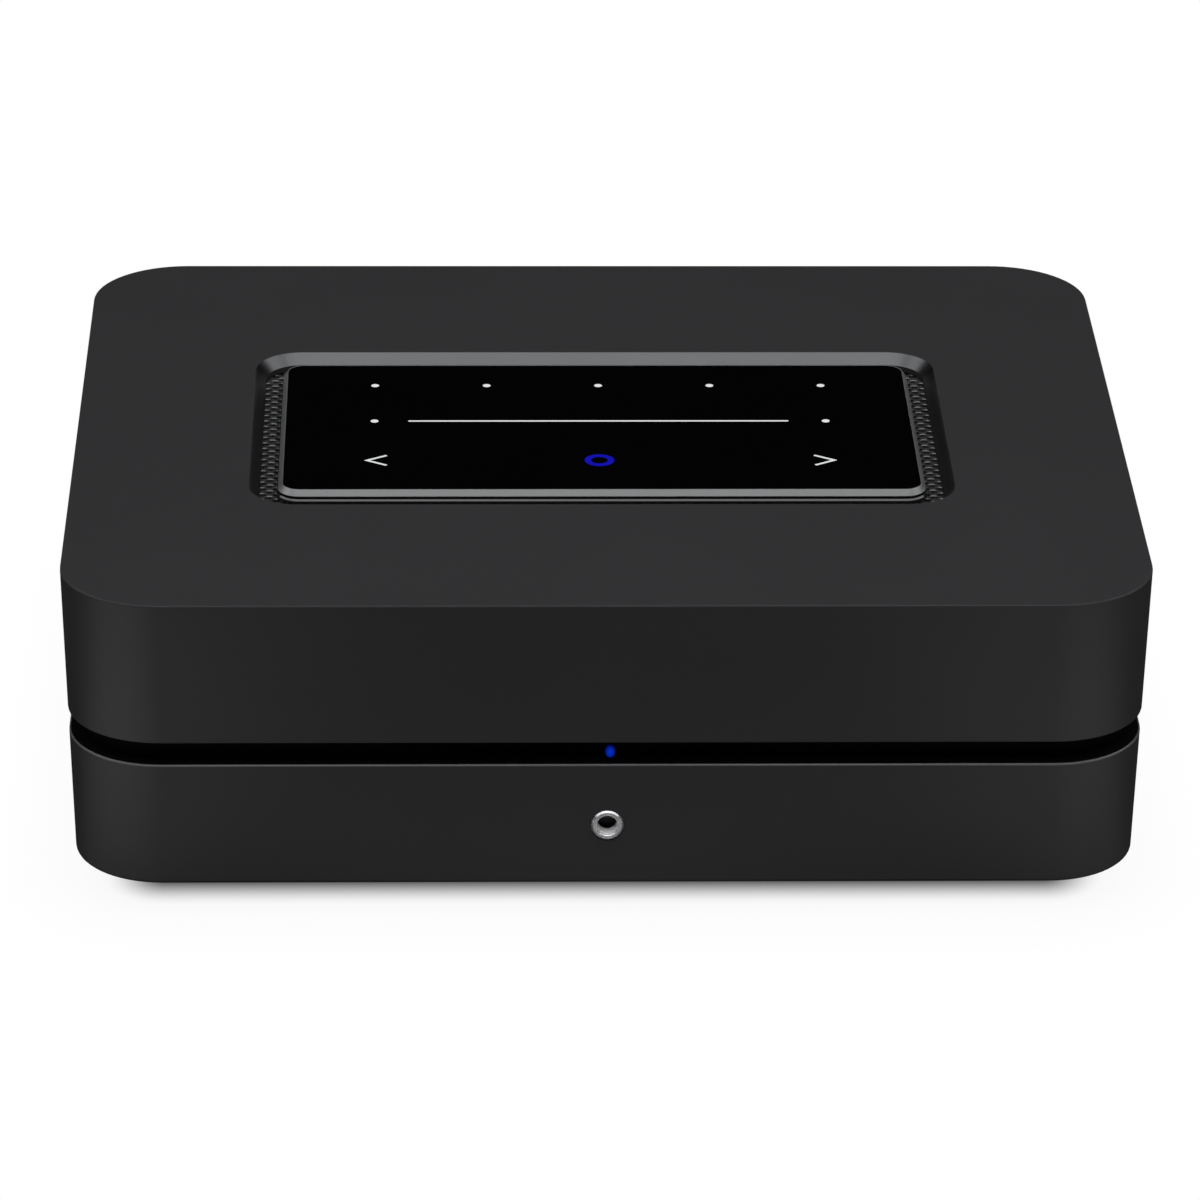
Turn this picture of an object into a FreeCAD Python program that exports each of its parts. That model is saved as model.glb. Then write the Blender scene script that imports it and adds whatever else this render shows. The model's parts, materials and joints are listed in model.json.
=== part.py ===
import FreeCAD, Part
import math
import os

# A compact streaming amplifier: two drafted shells with a recessed black waist,
# a touch panel floating in a vented well, and the sockets and boards that it holds.
# X is to the right, Y to the back, Z up, in millimetres. The origin is on the
# table, under the middle of the overall box.

V = FreeCAD.Vector

# Overall sizes
CASE_W = 220.0
CASE_D = 185.5
TOTAL_H = 70.0
FOOT_H = 7.4
CASE_R = 20.2
DRAFT = 0.0296
POST_OVERHANG = 4.5

# Shells
LOWER_H = 27.1
GAP_H = 4.85
WALL = 2.6
TOP_T = 3.5
FLOOR_T = 4.0
FLANGE_H = 3.0
TOP_ROUND = 0.6
EAVE_ROUND = 0.35
RIM_ROUND = 0.7
BASE_ROUND = 1.0
BOSS_R = 4.0
BOSS_INSET = 15.0
BOSS_JOINT_DROP = 2.4

# Waist band and status light
BAND_RECESS = 3.6
BAND_T = 2.4
RIB_T = 1.2
RIB_H = 3.4
LIGHT_W = 2.1
LIGHT_X = 0.5
LIGHT_PROUD = 0.15
FIT = 0.05

# Well and vent grille
WELL_MARGIN_X = 7.1
WELL_MARGIN_Y = 7.85
WELL_R = 10.0
WELL_SLOPE = 2.25
WELL_LIP = 2.2
GRILLE_T = 1.2
GRILLE_SEAT = 7.0
HOLE_STEP = 1.5
HOLE_R = 0.8
PANEL_SHIFT = -0.45

# Touch panel
GLASS_W = 132.2
GLASS_D = 67.5
GLASS_R = 3.4
GLASS_T = 1.2
BEZEL_LAND = 0.2
BEZEL_OUT = 1.15
BEZEL_DROP = 1.3
GROOVE_H = 0.55
BEZEL_LEDGE = 5.0
CARRIER_OUT = 1.3
CARRIER_CHAMFER = 0.45
GUIDE_MARGIN_X = 10.3
GUIDE_MARGIN_Y = 7.45
GUIDE_R = 3.0
GUIDE_FIT = 0.2
TOUCH_BOARD_MARGIN_X = 6.2
TOUCH_BOARD_MARGIN_Y = 3.8
BOARD_T = 1.6

# Legends under the glass, measured from the middle of the panel
LEGEND_T = 0.3
DOT_R = 1.05
DOT_PITCH = 23.9
DOT_ROW_Y = 22.45
LINE_ROW_Y = 2.75
LINE_W = 80.6
LINE_T = 0.9
KEY_ROW_Y = -18.5
ARROW_X = 49.4
ARROW_W = 4.5
ARROW_H = 5.7
ARROW_STROKE = 0.9
RING_R = 3.3
RING_HOLE_R = 1.65

# Base plate and feet
PLATE_MARGIN_X = 20.0
PLATE_MARGIN_Y = 19.75
PLATE_T = 2.0
PLATE_R = 8.0
PLATE_LEDGE = 4.0
SLOT_L = 18.0
SLOT_W = 3.0
SLOT_STEP = 7.0
SLOT_COUNT = 9
FOOT_R = 9.0
FOOT_INSET_X = 24.0
FOOT_INSET_Y = 11.0
FOOT_STEM_R = 2.0
SLOT_ROW_Y = 30.0
SLOT_START_X = 10.0
FOOT_HOLLOW_D = 1.2
FOOT_TAPER = 1.2
FOOT_ROUND = 0.8

# Screws
SCREW_R = 1.45
SCREW_HOLE_R = 1.6
SCREW_HEAD_R = 2.75
SCREW_HEAD_T = 1.8
SMALL_SCREW_R = 0.95
SMALL_HEAD_R = 1.9
SMALL_HEAD_T = 1.2
SMALL_SCREW = (SMALL_SCREW_R, SMALL_HEAD_R, SMALL_HEAD_T)
CASE_SCREW_REACH = 9.0
CASE_SCREW_SINK = 0.4
HEAD_FIT = 0.2
LOW_HEAD_T = 0.9
FOLD_SCREW_L = 3.3

# Rear window, tunnel and panel
WINDOW_MARGIN_X = 26.0
WINDOW_FLOOR = 3.0
WINDOW_TOP_MARGIN = 8.0
WINDOW_R = 3.0
TUNNEL_T = 2.0
REAR_RECESS = 8.0
REAR_T = 1.6
PANEL_LAP = 4.0
CUTOUT_FIT = 0.2
FOLD_D = 10.0
FOLD_SCREW_MARGIN = 4.0

# Boards and their spacers
SPACER_H = 6.0
SPACER_R = 2.9
BOARD_GAP = 8.0
BOARD_SIDE_MARGIN = 20.0
BOARD_FRONT_MARGIN = 26.75
BOARD_REAR_GAP = 3.0
MAIN_BOARD_H = 23.0
MAIN_BOARD_D = 74.0
HOLE_INSET = 7.0
BOARD_SCREW_BITE = 3.0
PLATE_SCREW_BITE = 2.2
MAIN_SCREW_BITE = 5.0
TALL_STUD_L = 3.0

# Speaker posts
POST_SPACING = 19.0
PAIR_SPACING = 24.0
POST_END_MARGIN = 18.0
POST_RISE = 10.0
STUD_R = 3.0
STUD_BORE_R = 2.05
STUD_BORE_L = 14.0
BASE_COLLAR_R = 6.5
BASE_COLLAR_T = 2.5
POST_HOLE_R = 4.5
NUT_R = 5.5
NUT_T = 2.5
CAP_R = 6.0
CAP_END_T = 0.8
CAP_MOUTH_R = 2.3
CAP_FLUTES = 12
FLUTE_R = 0.9
WASHER_R = 5.0
WASHER_T = 1.0
RUN_FIT = 0.05
STACK_GAP = 0.15
TAIL_W = 3.0
TAIL_T = 1.0
WIRE_HOLE_R = 1.3
STUD_TAIL_L = 8.0
SHOULDER_PROUD = 0.4
FLUTE_START = 1.6
FLUTE_END = 1.2
CAP_ROUND = 0.5

# Sockets in the upper row, from left to right seen from the front
SOCKET_END_MARGIN = 21.0
SOCKET_COUNT = 6
SOCKET_PROUD = 1.0
LAN_W = 16.0
LAN_H = 13.4
LAN_L = 21.0
LAN_HOLE_W = 11.8
LAN_HOLE_H = 8.2
LAN_HOLE_L = 13.0
LAN_SILL = 2.4
LATCH_W = 6.0
LATCH_H = 1.4
LATCH_SETBACK = 3.0
USB_W = 13.2
USB_H = 5.8
USB_L = 15.0
HDMI_W = 15.2
HDMI_H = 6.0
HDMI_L = 13.0
SHEET_T = 0.5
SOCKET_LIFT = 1.2
TONGUE_T = 1.6
TONGUE_SIDE = 1.0
TONGUE_SETBACK = 2.5
SHELL_LEG_L = 4.0
USB_TONGUE_RISE = 0.6
JACK_W = 9.0
JACK_H = 8.0
JACK_L = 15.0
JACK_NOSE_R = 3.0
JACK_BORE_R = 1.8
JACK_BORE_L = 13.0
PHONO_R = 4.15
PHONO_ROOT_R = 3.85
PHONO_CORE_R = 3.4
PHONO_BORE_R = 1.65
PHONO_L = 9.0
PHONO_BLOCK_W = 12.0
PHONO_BLOCK_D = 10.0
PHONO_RISE = 8.4
PHONO_ROOT_L = 2.0
PHONO_CORE_SETBACK = 1.5
PHONO_BORE_L = 12.5

# Mains inlet
INLET_END_MARGIN = 24.0
INLET_W = 21.0
INLET_H = 13.0
INLET_L = 18.0
INLET_FLANGE_W = 25.0
INLET_FLANGE_H = 17.0
INLET_FLANGE_T = 1.5
INLET_LOBE_R = 4.4
INLET_PIN_GAP = 8.6
INLET_PIN_R = 1.2
INLET_DEPTH = 15.0
INLET_PIN_SHORT = 4.0
INLET_WEB = 0.7
INLET_CORNER_R = 2.0
PIN_LEG_SETBACK = 3.0

# Headphone socket in the front
PHONES_RISE = 13.4
PHONES_RING_R = 3.45
PHONES_RING_T = 0.55
PHONES_STEP_R = 2.15
PHONES_TUBE_R = 2.9
PHONES_TUBE_T = 0.5
PHONES_SINK = 0.35
PHONES_STEP_D = 0.4
PHONES_ROUND = 0.25
FRONT_BOARD_W = 34.0
FRONT_BOARD_SETBACK = 17.0
FRONT_POST_T = 3.0
FRONT_POST_W = 8.0
FRONT_SCREW_RISE = 8.0
FRONT_SCREW_BITE = 2.4
LED_W = 1.6
LED_T = 1.0
LED_H = 2.0

# Parts on the boards
CAPACITOR_R = 9.0
CAPACITOR_H = 32.0
CAPACITOR_GAP = 3.0
CAPACITOR_SETBACK = 21.0
CRIMP_RISE = 4.0
CRIMP_W = 1.2
CRIMP_D = 0.7
TRANSFORMER = (34.0, 30.0, 24.0)
CORE_D = 12.0
TRANSFORMER_SETBACK = 52.0
CORE_OVERHANG = 4.0
CORE_RISE = 3.0
CHOKE_R = 10.0
CHOKE_HOLE_R = 4.5
CHOKE_H = 11.0
CHOKE_GAP = 4.0
CHOKE_REAR = 42.0
CHIP = (14.0, 9.0, 2.0)
SINK_D = 40.0
SINK_H = 18.0
SINK_BASE = 4.0
FIN_COUNT = 10
FIN_T = 1.6
SINK_MARGIN = 12.0
SINK_SHIFT = 16.0
CHIP_ROW_Y = 10.0
INDUCTOR = (13.0, 13.0, 11.0)
INDUCTOR_GAP = 4.0
INDUCTOR_REAR = 30.0
INDUCTOR_ROUND = 1.2
CAN = (34.0, 30.0, 4.5)
CAN_T = 0.3
RADIO = (24.0, 16.0, 2.6)
ANTENNA = (42.0, 9.0, 0.8)
ANTENNA_GAP = 0.15
RIBBON_W = 12.0
RIBBON_T = 0.3
RIBBON_BOW = 10.0
RIBBON_STUB = 6.0
RIBBON_PLUG = (16.0, 5.0, 2.0)
LEAD_R = 0.9
THIN_LEAD_R = 0.54
SUPPLY_RISE = 10.0
PHONES_LEAD_RISE = 9.0
ANTENNA_LEAD_RISE = 8.0

# Levels and places worked out from the sizes above
CASE_Y = -POST_OVERHANG / 2
Z_BASE = FOOT_H
Z_RIM = Z_BASE + LOWER_H
Z_EAVE = Z_RIM + GAP_H
Z_TOP = TOTAL_H
Z_CEILING = Z_TOP - TOP_T
Z_FLOOR = Z_BASE + FLOOR_T
Z_PLATE = Z_BASE + PLATE_T
FLANGE = BAND_RECESS + BAND_T
REAR_EDGE = CASE_Y + CASE_D / 2
FRONT_EDGE = CASE_Y - CASE_D / 2
REAR_FACE = REAR_EDGE - REAR_RECESS
REAR_INNER = REAR_FACE - REAR_T
POST_END = REAR_EDGE + POST_OVERHANG
WINDOW_HALF = CASE_W / 2 - WINDOW_MARGIN_X
Z_WINDOW = Z_FLOOR + WINDOW_FLOOR
Z_WINDOW_TOP = Z_TOP - WINDOW_TOP_MARGIN
PANEL_Y = CASE_Y + PANEL_SHIFT
PLATE_W = CASE_W - 2 * PLATE_MARGIN_X
PLATE_D = CASE_D - 2 * PLATE_MARGIN_Y
Z_BOARD = Z_PLATE + SPACER_H
Z_BOARD_TOP = Z_BOARD + BOARD_T
Z_MAIN = Z_BOARD_TOP + MAIN_BOARD_H
Z_MAIN_TOP = Z_MAIN + BOARD_T
BOARD_REAR = REAR_INNER - BOARD_REAR_GAP
BOARD_FRONT = FRONT_EDGE + BOARD_FRONT_MARGIN
BOARD_SIDE = CASE_W / 2 - BOARD_SIDE_MARGIN
MAIN_FRONT = BOARD_REAR - MAIN_BOARD_D
BOSS_X = CASE_W / 2 - BOSS_INSET
BOSS_Y = CASE_D / 2 - BOSS_INSET
BOSS_PLACES = [(sx * BOSS_X, CASE_Y + sy * BOSS_Y) for sx in (-1, 1) for sy in (-1, 1)]
Z_BOSS_JOINT = Z_EAVE - BOSS_JOINT_DROP
CASE_SCREW_SEAT = Z_BASE + SCREW_HEAD_T + CASE_SCREW_SINK
SPACER_X = PLATE_W / 2 - 2 * PLATE_LEDGE - SPACER_R - 1.0
SPACER_Y = PLATE_D / 2 - 2 * PLATE_LEDGE - SPACER_R - 1.0
POST_Z = Z_BOARD_TOP + POST_RISE
POST_XS = [
    WINDOW_HALF - POST_END_MARGIN - offset
    for offset in (
        0.0,
        POST_SPACING,
        POST_SPACING + PAIR_SPACING,
        2 * POST_SPACING + PAIR_SPACING,
    )
]
COLLAR_END = REAR_FACE + BASE_COLLAR_T
WASHER_START = COLLAR_END + STACK_GAP
CAP_START = WASHER_START + WASHER_T + STACK_GAP
STUD_END = POST_END - CAP_END_T - STACK_GAP
SOCKET_STEP = 2 * (WINDOW_HALF - SOCKET_END_MARGIN) / (SOCKET_COUNT - 1)
SOCKET_XS = [
    -WINDOW_HALF + SOCKET_END_MARGIN + i * SOCKET_STEP for i in range(SOCKET_COUNT)
]
SOCKET_END = REAR_FACE + SOCKET_PROUD
INLET_X = -WINDOW_HALF + INLET_END_MARGIN
INLET_Z = Z_BOARD_TOP + INLET_FLANGE_H / 2 + 1.0
Z_SEAT = Z_TOP - GLASS_T
Z_CARRIER_TOP = Z_TOP - BEZEL_DROP - GROOVE_H
WELL_W = GLASS_W + 2 * WELL_MARGIN_X
WELL_D = GLASS_D + 2 * WELL_MARGIN_Y
LIP_W = WELL_W - 2 * WELL_SLOPE
LIP_D = WELL_D - 2 * WELL_SLOPE
LIP_R = WELL_R - WELL_SLOPE
Z_LIP = Z_TOP - WELL_LIP
GUIDE_W = GLASS_W - 2 * GUIDE_MARGIN_X
GUIDE_D = GLASS_D - 2 * GUIDE_MARGIN_Y
TOUCH_BOARD_W = GUIDE_W + 2 * TOUCH_BOARD_MARGIN_X
TOUCH_BOARD_D = GUIDE_D + 2 * TOUCH_BOARD_MARGIN_Y


# Shape helpers

def case_lean(z):
    """How far the sides stand in at height z."""
    return DRAFT * (Z_TOP - z)


def outline(width, depth, radius, z, x=0.0, y=CASE_Y):
    """A rounded rectangle as a closed wire at height z."""
    a, b = width / 2, depth / 2
    r = min(radius, a - 0.01, b - 0.01)
    k = r * (1 - math.sqrt(0.5))
    edges = []
    corners = [(a, b, 1, 1), (-a, b, -1, 1), (-a, -b, -1, -1), (a, -b, 1, -1)]
    ends = []
    for cx, cy, sx, sy in corners:
        along_y = V(x + cx, y + cy - sy * r, z)
        along_x = V(x + cx - sx * r, y + cy, z)
        middle = V(x + cx - sx * k, y + cy - sy * k, z)
        first, last = (along_y, along_x) if sx * sy > 0 else (along_x, along_y)
        edges.append(Part.Arc(first, middle, last).toShape())
        ends.append((first, last))
    for i in range(4):
        edges.append(Part.LineSegment(ends[i][1], ends[(i + 1) % 4][0]).toShape())
    return Part.Wire(Part.__sortEdges__(edges))


def prism(width, depth, radius, z0, z1, x=0.0, y=CASE_Y):
    """A block with a rounded rectangle as its plan."""
    face = Part.Face(outline(width, depth, radius, z0, x, y))
    return face.extrude(V(0, 0, z1 - z0))


def tapered(low, high, y=CASE_Y):
    """A block between two rounded rectangles, each (width, depth, radius, z)."""
    wires = [outline(*low, 0.0, y), outline(*high, 0.0, y)]
    return Part.makeLoft(wires, True, True)


def case_block(z0, z1, inset=0.0):
    """The drafted body of the case between two heights, moved in by inset."""
    sizes = []
    for z in (z0, z1):
        t = case_lean(z) + inset
        sizes.append((CASE_W - 2 * t, CASE_D - 2 * t, max(CASE_R - t, 1.0), z))
    return tapered(*sizes)


def box(x0, x1, y0, y1, z0, z1):
    """A plain block between two corners."""
    return Part.makeBox(x1 - x0, y1 - y0, z1 - z0, V(x0, y0, z0))


def centred_box(x, y, size, z):
    """A block of (width, depth, height) that stands at height z."""
    w, d, h = size
    return box(x - w / 2, x + w / 2, y - d / 2, y + d / 2, z, z + h)


def block_y(x, z, width, height, y0, y1):
    """A block along Y that is centred on x and z."""
    return box(x - width / 2, x + width / 2, y0, y1, z - height / 2, z + height / 2)


def rod_y(x, z, radius, y0, y1):
    """A cylinder along Y."""
    return Part.makeCylinder(radius, y1 - y0, V(x, y0, z), V(0, 1, 0))


def rod_z(x, y, radius, z0, z1):
    """A cylinder along Z."""
    return Part.makeCylinder(radius, z1 - z0, V(x, y, z0), V(0, 0, 1))


def hexagon_z(x, y, radius, z0, z1):
    """A hexagonal bar along Z, with its corners at radius."""
    points = [
        V(x + radius * math.cos(a), y + radius * math.sin(a), z0)
        for a in (i * math.pi / 3 for i in range(7))
    ]
    return Part.Face(Part.makePolygon(points)).extrude(V(0, 0, z1 - z0))


def hexagon_y(x, z, radius, y0, y1):
    """A hexagonal bar along Y, with its corners at radius."""
    points = [
        V(x + radius * math.cos(a), y0, z + radius * math.sin(a))
        for a in (i * math.pi / 3 for i in range(7))
    ]
    return Part.Face(Part.makePolygon(points)).extrude(V(0, y1 - y0, 0))


def joined(shapes):
    """Several touching solids as one."""
    whole = shapes[0].multiFuse(shapes[1:])
    return whole.removeSplitter()


def edges_at(shape, z):
    """The edges of a shape that lie wholly at height z."""
    return [e for e in shape.Edges if all(abs(p.Point.z - z) < 1e-6 for p in e.Vertexes)]


def rounded(shape, z, radius):
    """The shape with its edges at height z rounded."""
    return shape.makeFillet(radius, edges_at(shape, z))


def screw_down(x, y, seat_z, length, radius=SCREW_R, head_r=SCREW_HEAD_R, head_t=SCREW_HEAD_T):
    """A pan head screw whose head sits on seat_z and whose shank points down."""
    head = rod_z(x, y, head_r, seat_z, seat_z + head_t)
    head = head.makeFillet(head_t * 0.45, edges_at(head, seat_z + head_t))
    recess = rod_z(x, y, head_r * 0.45, seat_z + head_t * 0.4, seat_z + head_t + 1)
    return joined([head, rod_z(x, y, radius, seat_z - length, seat_z)]).cut(recess)


def screw_up(x, y, seat_z, length, radius=SCREW_R, head_r=SCREW_HEAD_R, head_t=SCREW_HEAD_T):
    """The same screw driven from below."""
    made = screw_down(x, y, seat_z, length, radius, head_r, head_t)
    return made.mirror(V(x, y, seat_z), V(0, 0, 1))


def lead(points, radius=LEAD_R):
    """A round lead along straight runs joined by the largest tangent arcs that fit."""
    points = [V(*p) for p in points]
    edges = []
    start = points[0]
    for before, corner, after in zip(points, points[1:], points[2:]):
        back = (before - corner).normalize()
        on = (after - corner).normalize()
        half = math.acos(max(-1.0, min(1.0, back.dot(on)))) / 2
        reach = 0.45 * min((before - corner).Length, (after - corner).Length)
        arc_r = reach * math.tan(half)
        a, b = corner + back * reach, corner + on * reach
        middle = corner + (back + on).normalize() * (arc_r / math.sin(half) - arc_r)
        edges.append(Part.LineSegment(start, a).toShape())
        edges.append(Part.Arc(a, middle, b).toShape())
        start = b
    edges.append(Part.LineSegment(start, points[-1]).toShape())
    path = Part.Wire(edges)
    section = Part.Wire(Part.makeCircle(radius, points[0], points[1] - points[0]))
    tube = path.makePipeShell([section], True, False)
    print("lead length", round(path.Length, 1))
    return tube


# Case

def window_block(y0, y1, z0, z1, grow=0.0):
    """The rear window as a block, cut by the heights z0 and z1."""
    half = WINDOW_HALF + grow
    low, high = Z_WINDOW - grow, Z_WINDOW_TOP + grow
    r = WINDOW_R + grow
    centre_z = (low + high) / 2
    wire = outline(2 * half, high - low, r, 0.0, 0.0, 0.0)
    face = Part.Face(wire)
    face.rotate(V(0, 0, 0), V(1, 0, 0), 90)
    face.translate(V(0, y1, centre_z))
    whole = face.extrude(V(0, y0 - y1, 0))
    return whole.common(box(-half - 1, half + 1, y0 - 1, y1 + 1, z0, z1))


def upper_shell():
    shell = case_block(Z_EAVE, Z_TOP)
    shell = rounded(shell, Z_TOP, TOP_ROUND)
    shell = rounded(shell, Z_EAVE, EAVE_ROUND)
    shell = shell.cut(case_block(Z_EAVE - 1, Z_EAVE + FLANGE_H, FLANGE))
    shell = shell.cut(case_block(Z_EAVE + FLANGE_H, Z_CEILING, WALL))
    tunnel = window_block(REAR_FACE, REAR_EDGE - WALL, Z_EAVE, Z_TOP, TUNNEL_T)
    parts = [shell, tunnel]
    for x, y in BOSS_PLACES:
        parts.append(rod_z(x, y, BOSS_R, Z_BOSS_JOINT, Z_CEILING))
    shell = joined(parts)
    bore_top = Z_BOSS_JOINT + CASE_SCREW_REACH + 2
    for x, y in BOSS_PLACES:
        shell = shell.cut(rod_z(x, y, SCREW_HOLE_R - 0.1, Z_BOSS_JOINT - 1, bore_top))
    shell = shell.cut(window_block(REAR_FACE - 1, REAR_EDGE + 1, Z_EAVE - 1, Z_TOP))
    rim = (WELL_W, WELL_D, WELL_R, Z_TOP)
    lip = (LIP_W, LIP_D, LIP_R)
    shell = shell.cut(tapered((*lip, Z_LIP), rim, PANEL_Y))
    shell = shell.cut(prism(*lip, Z_CEILING - 1, Z_LIP, 0.0, PANEL_Y))
    for x, y in grille_screw_places():
        shell = shell.cut(rod_z(x, y, SMALL_SCREW_R + FIT, Z_CEILING - 1, Z_CEILING + 2.4))
    return shell


def lower_shell():
    shell = case_block(Z_BASE, Z_RIM)
    shell = rounded(shell, Z_RIM, RIM_ROUND)
    shell = rounded(shell, Z_BASE, BASE_ROUND)
    shell = shell.cut(case_block(Z_RIM - FLANGE_H, Z_RIM + 1, FLANGE))
    shell = shell.cut(case_block(Z_FLOOR, Z_RIM - FLANGE_H, WALL))
    tunnel = window_block(REAR_FACE, REAR_EDGE - FLANGE, Z_FLOOR, Z_RIM, TUNNEL_T)
    sill = box(-WINDOW_HALF, WINDOW_HALF, REAR_FACE, REAR_EDGE - FLANGE, Z_FLOOR, Z_WINDOW)
    parts = [shell, tunnel, sill]
    parts.append(window_block(REAR_FACE, REAR_EDGE - WALL - 1, Z_FLOOR, Z_RIM, TUNNEL_T))
    for x, y in BOSS_PLACES:
        parts.append(rod_z(x, y, BOSS_R, Z_FLOOR, Z_BOSS_JOINT))
    for sx in (-1, 1):
        parts.append(front_board_post(sx))
    shell = joined(parts)
    shell = shell.cut(window_block(REAR_FACE - 1, REAR_EDGE + 1, Z_WINDOW - 1, Z_RIM + 1))
    for x, y in BOSS_PLACES:
        shell = shell.cut(rod_z(x, y, SCREW_HOLE_R, Z_BASE - 1, Z_BOSS_JOINT + 1))
        shell = shell.cut(rod_z(x, y, SCREW_HEAD_R + HEAD_FIT, Z_BASE - 1, CASE_SCREW_SEAT))
    shell = shell.cut(prism(PLATE_W + 2 * FIT, PLATE_D + 2 * FIT, PLATE_R, Z_BASE - 1, Z_PLATE))
    hole_w, hole_d = PLATE_W - 4 * PLATE_LEDGE, PLATE_D - 4 * PLATE_LEDGE
    shell = shell.cut(prism(hole_w, hole_d, PLATE_R - PLATE_LEDGE, Z_PLATE - 1, Z_FLOOR + 1))
    for x, y in plate_screw_places():
        shell = shell.cut(rod_z(x, y, SMALL_SCREW_R + FIT, Z_PLATE - 1, Z_FLOOR - 0.4))
    for x, y in fold_screw_places():
        shell = shell.cut(rod_z(x, y, SMALL_SCREW_R + FIT, Z_FLOOR - 1.9, Z_FLOOR + 1))
    shell = shell.cut(rod_y(0.0, PHONES_Z, PHONES_TUBE_R + FIT, FRONT_EDGE - 1, FRONT_EDGE + 10))
    shell = shell.cut(rod_y(0.0, PHONES_Z, PHONES_RING_R + FIT, FRONT_EDGE - 1, PHONES_SEAT))
    for x in front_board_screw_xs():
        shell = shell.cut(rod_y(x, FRONT_SCREW_Z, SCREW_HOLE_R - 0.1, BOARD_PLANE, BOARD_PLANE + 2.6))
    return shell


def waist_band():
    """The recessed black ring, located by a taller inner rib, with short returns at the window."""
    z0, z1 = Z_RIM - RIB_H, Z_EAVE + RIB_H
    inner = case_block(z0, z1, FLANGE + FIT + RIB_T)
    rib = case_block(z0, z1, FLANGE + FIT).cut(inner)
    clear = WINDOW_HALF + PANEL_LAP + 0.5
    rib = rib.cut(box(-clear, clear, CASE_Y + CASE_D / 4, REAR_EDGE, z0, z1))
    ring = case_block(Z_RIM, Z_EAVE, BAND_RECESS).cut(case_block(Z_RIM, Z_EAVE, FLANGE + FIT))
    ring = joined([rib, ring])
    half = WINDOW_HALF + TUNNEL_T
    ring = ring.cut(box(-half, half, CASE_Y + CASE_D / 4, REAR_EDGE, z0, z1))
    parts = [ring]
    for sx in (-1, 1):
        xs = sorted((sx * WINDOW_HALF, sx * half))
        parts.append(box(*xs, REAR_FACE, REAR_EDGE - BAND_RECESS - 0.3, Z_RIM, Z_EAVE))
    band = joined(parts)
    x0, x1 = LIGHT_X - LIGHT_W / 2 - FIT, LIGHT_X + LIGHT_W / 2 + FIT
    return band.cut(box(x0, x1, FRONT_EDGE, FRONT_EDGE + 12, Z_RIM, Z_EAVE))


def status_light_pipe():
    """A clear bar from the waist back to the light on the front board."""
    front = FRONT_EDGE + case_lean((Z_RIM + Z_EAVE) / 2) + BAND_RECESS - LIGHT_PROUD
    x0, x1 = LIGHT_X - LIGHT_W / 2, LIGHT_X + LIGHT_W / 2
    return box(x0, x1, front, BOARD_PLANE - BOARD_T - LED_T, Z_RIM, Z_EAVE)


# Panel in the top

def panel_outline(out, z0, z1):
    """A block with the plan of the glass grown by out."""
    r = max(GLASS_R + out, 0.5)
    return prism(GLASS_W + 2 * out, GLASS_D + 2 * out, r, z0, z1, 0.0, PANEL_Y)


def grille_screw_places():
    """Where the grille is screwed to the underside of the top."""
    x = LIP_W / 2 + GRILLE_SEAT * 0.6
    y = LIP_D / 2 + GRILLE_SEAT * 0.6
    places = [(sx * x, PANEL_Y + sy * y * 0.6) for sx in (-1, 1) for sy in (-1, 1)]
    return places + [(0.0, PANEL_Y + sy * y) for sy in (-1, 1)]


def in_rounded(x, y, width, depth, radius):
    """Whether a point lies in a rounded rectangle about the origin."""
    dx = max(abs(x) - (width / 2 - radius), 0.0)
    dy = max(abs(y) - (depth / 2 - radius), 0.0)
    inside = abs(x) <= width / 2 and abs(y) <= depth / 2
    return inside and math.hypot(dx, dy) <= radius


def grille_hole_places():
    """Staggered holes between the panel's carrier and the wall of the well."""
    carrier = (GLASS_W + 2 * CARRIER_OUT, GLASS_D + 2 * CARRIER_OUT, GLASS_R + CARRIER_OUT)
    columns = int(LIP_W / 2 / HOLE_STEP) + 1
    rows = int(LIP_D / 2 / HOLE_STEP) + 1
    places = []
    for i in range(-columns, columns + 1):
        for j in range(-rows, rows + 1):
            x, y = i * HOLE_STEP, j * HOLE_STEP
            open_here = in_rounded(x, y, LIP_W, LIP_D, LIP_R) and not in_rounded(x, y, *carrier)
            if (i + j) % 2 == 0 and open_here:
                places.append((x, PANEL_Y + y))
    return places


def vent_grille():
    """The perforated ring that closes the well around the panel and carries it."""
    z = Z_CEILING - GRILLE_T
    outer = outline(LIP_W + 2 * GRILLE_SEAT, LIP_D + 2 * GRILLE_SEAT, WELL_R, z, 0.0, PANEL_Y)
    hole_w, hole_d = TOUCH_BOARD_W + 2.0, TOUCH_BOARD_D + 2.0
    wires = [outer, outline(hole_w, hole_d, GUIDE_R, z, 0.0, PANEL_Y)]
    for x, y in grille_hole_places():
        wires.append(Part.Wire(Part.makeCircle(HOLE_R, V(x, y, z))))
    for x, y in grille_screw_places():
        wires.append(Part.Wire(Part.makeCircle(SMALL_SCREW_R + 0.1, V(x, y, z))))
    face = Part.Face(wires, "Part::FaceMakerBullseye")
    return face.extrude(V(0, 0, GRILLE_T))


def panel_carrier():
    """The plastic ring that lifts the bezel off the grille."""
    block = panel_outline(CARRIER_OUT, Z_CEILING, Z_CARRIER_TOP)
    block = block.makeChamfer(CARRIER_CHAMFER, edges_at(block, Z_CARRIER_TOP))
    hole = prism(
        GUIDE_W + 2 * GUIDE_FIT, GUIDE_D + 2 * GUIDE_FIT, GUIDE_R + GUIDE_FIT,
        Z_CEILING - 1, Z_CARRIER_TOP + 1, 0.0, PANEL_Y,
    )
    block = block.cut(hole)
    for x, y in touch_screw_places():
        block = block.cut(rod_z(x, y, SMALL_SCREW_R + FIT, Z_CEILING - 1, Z_CARRIER_TOP - 0.35))
    return block


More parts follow.
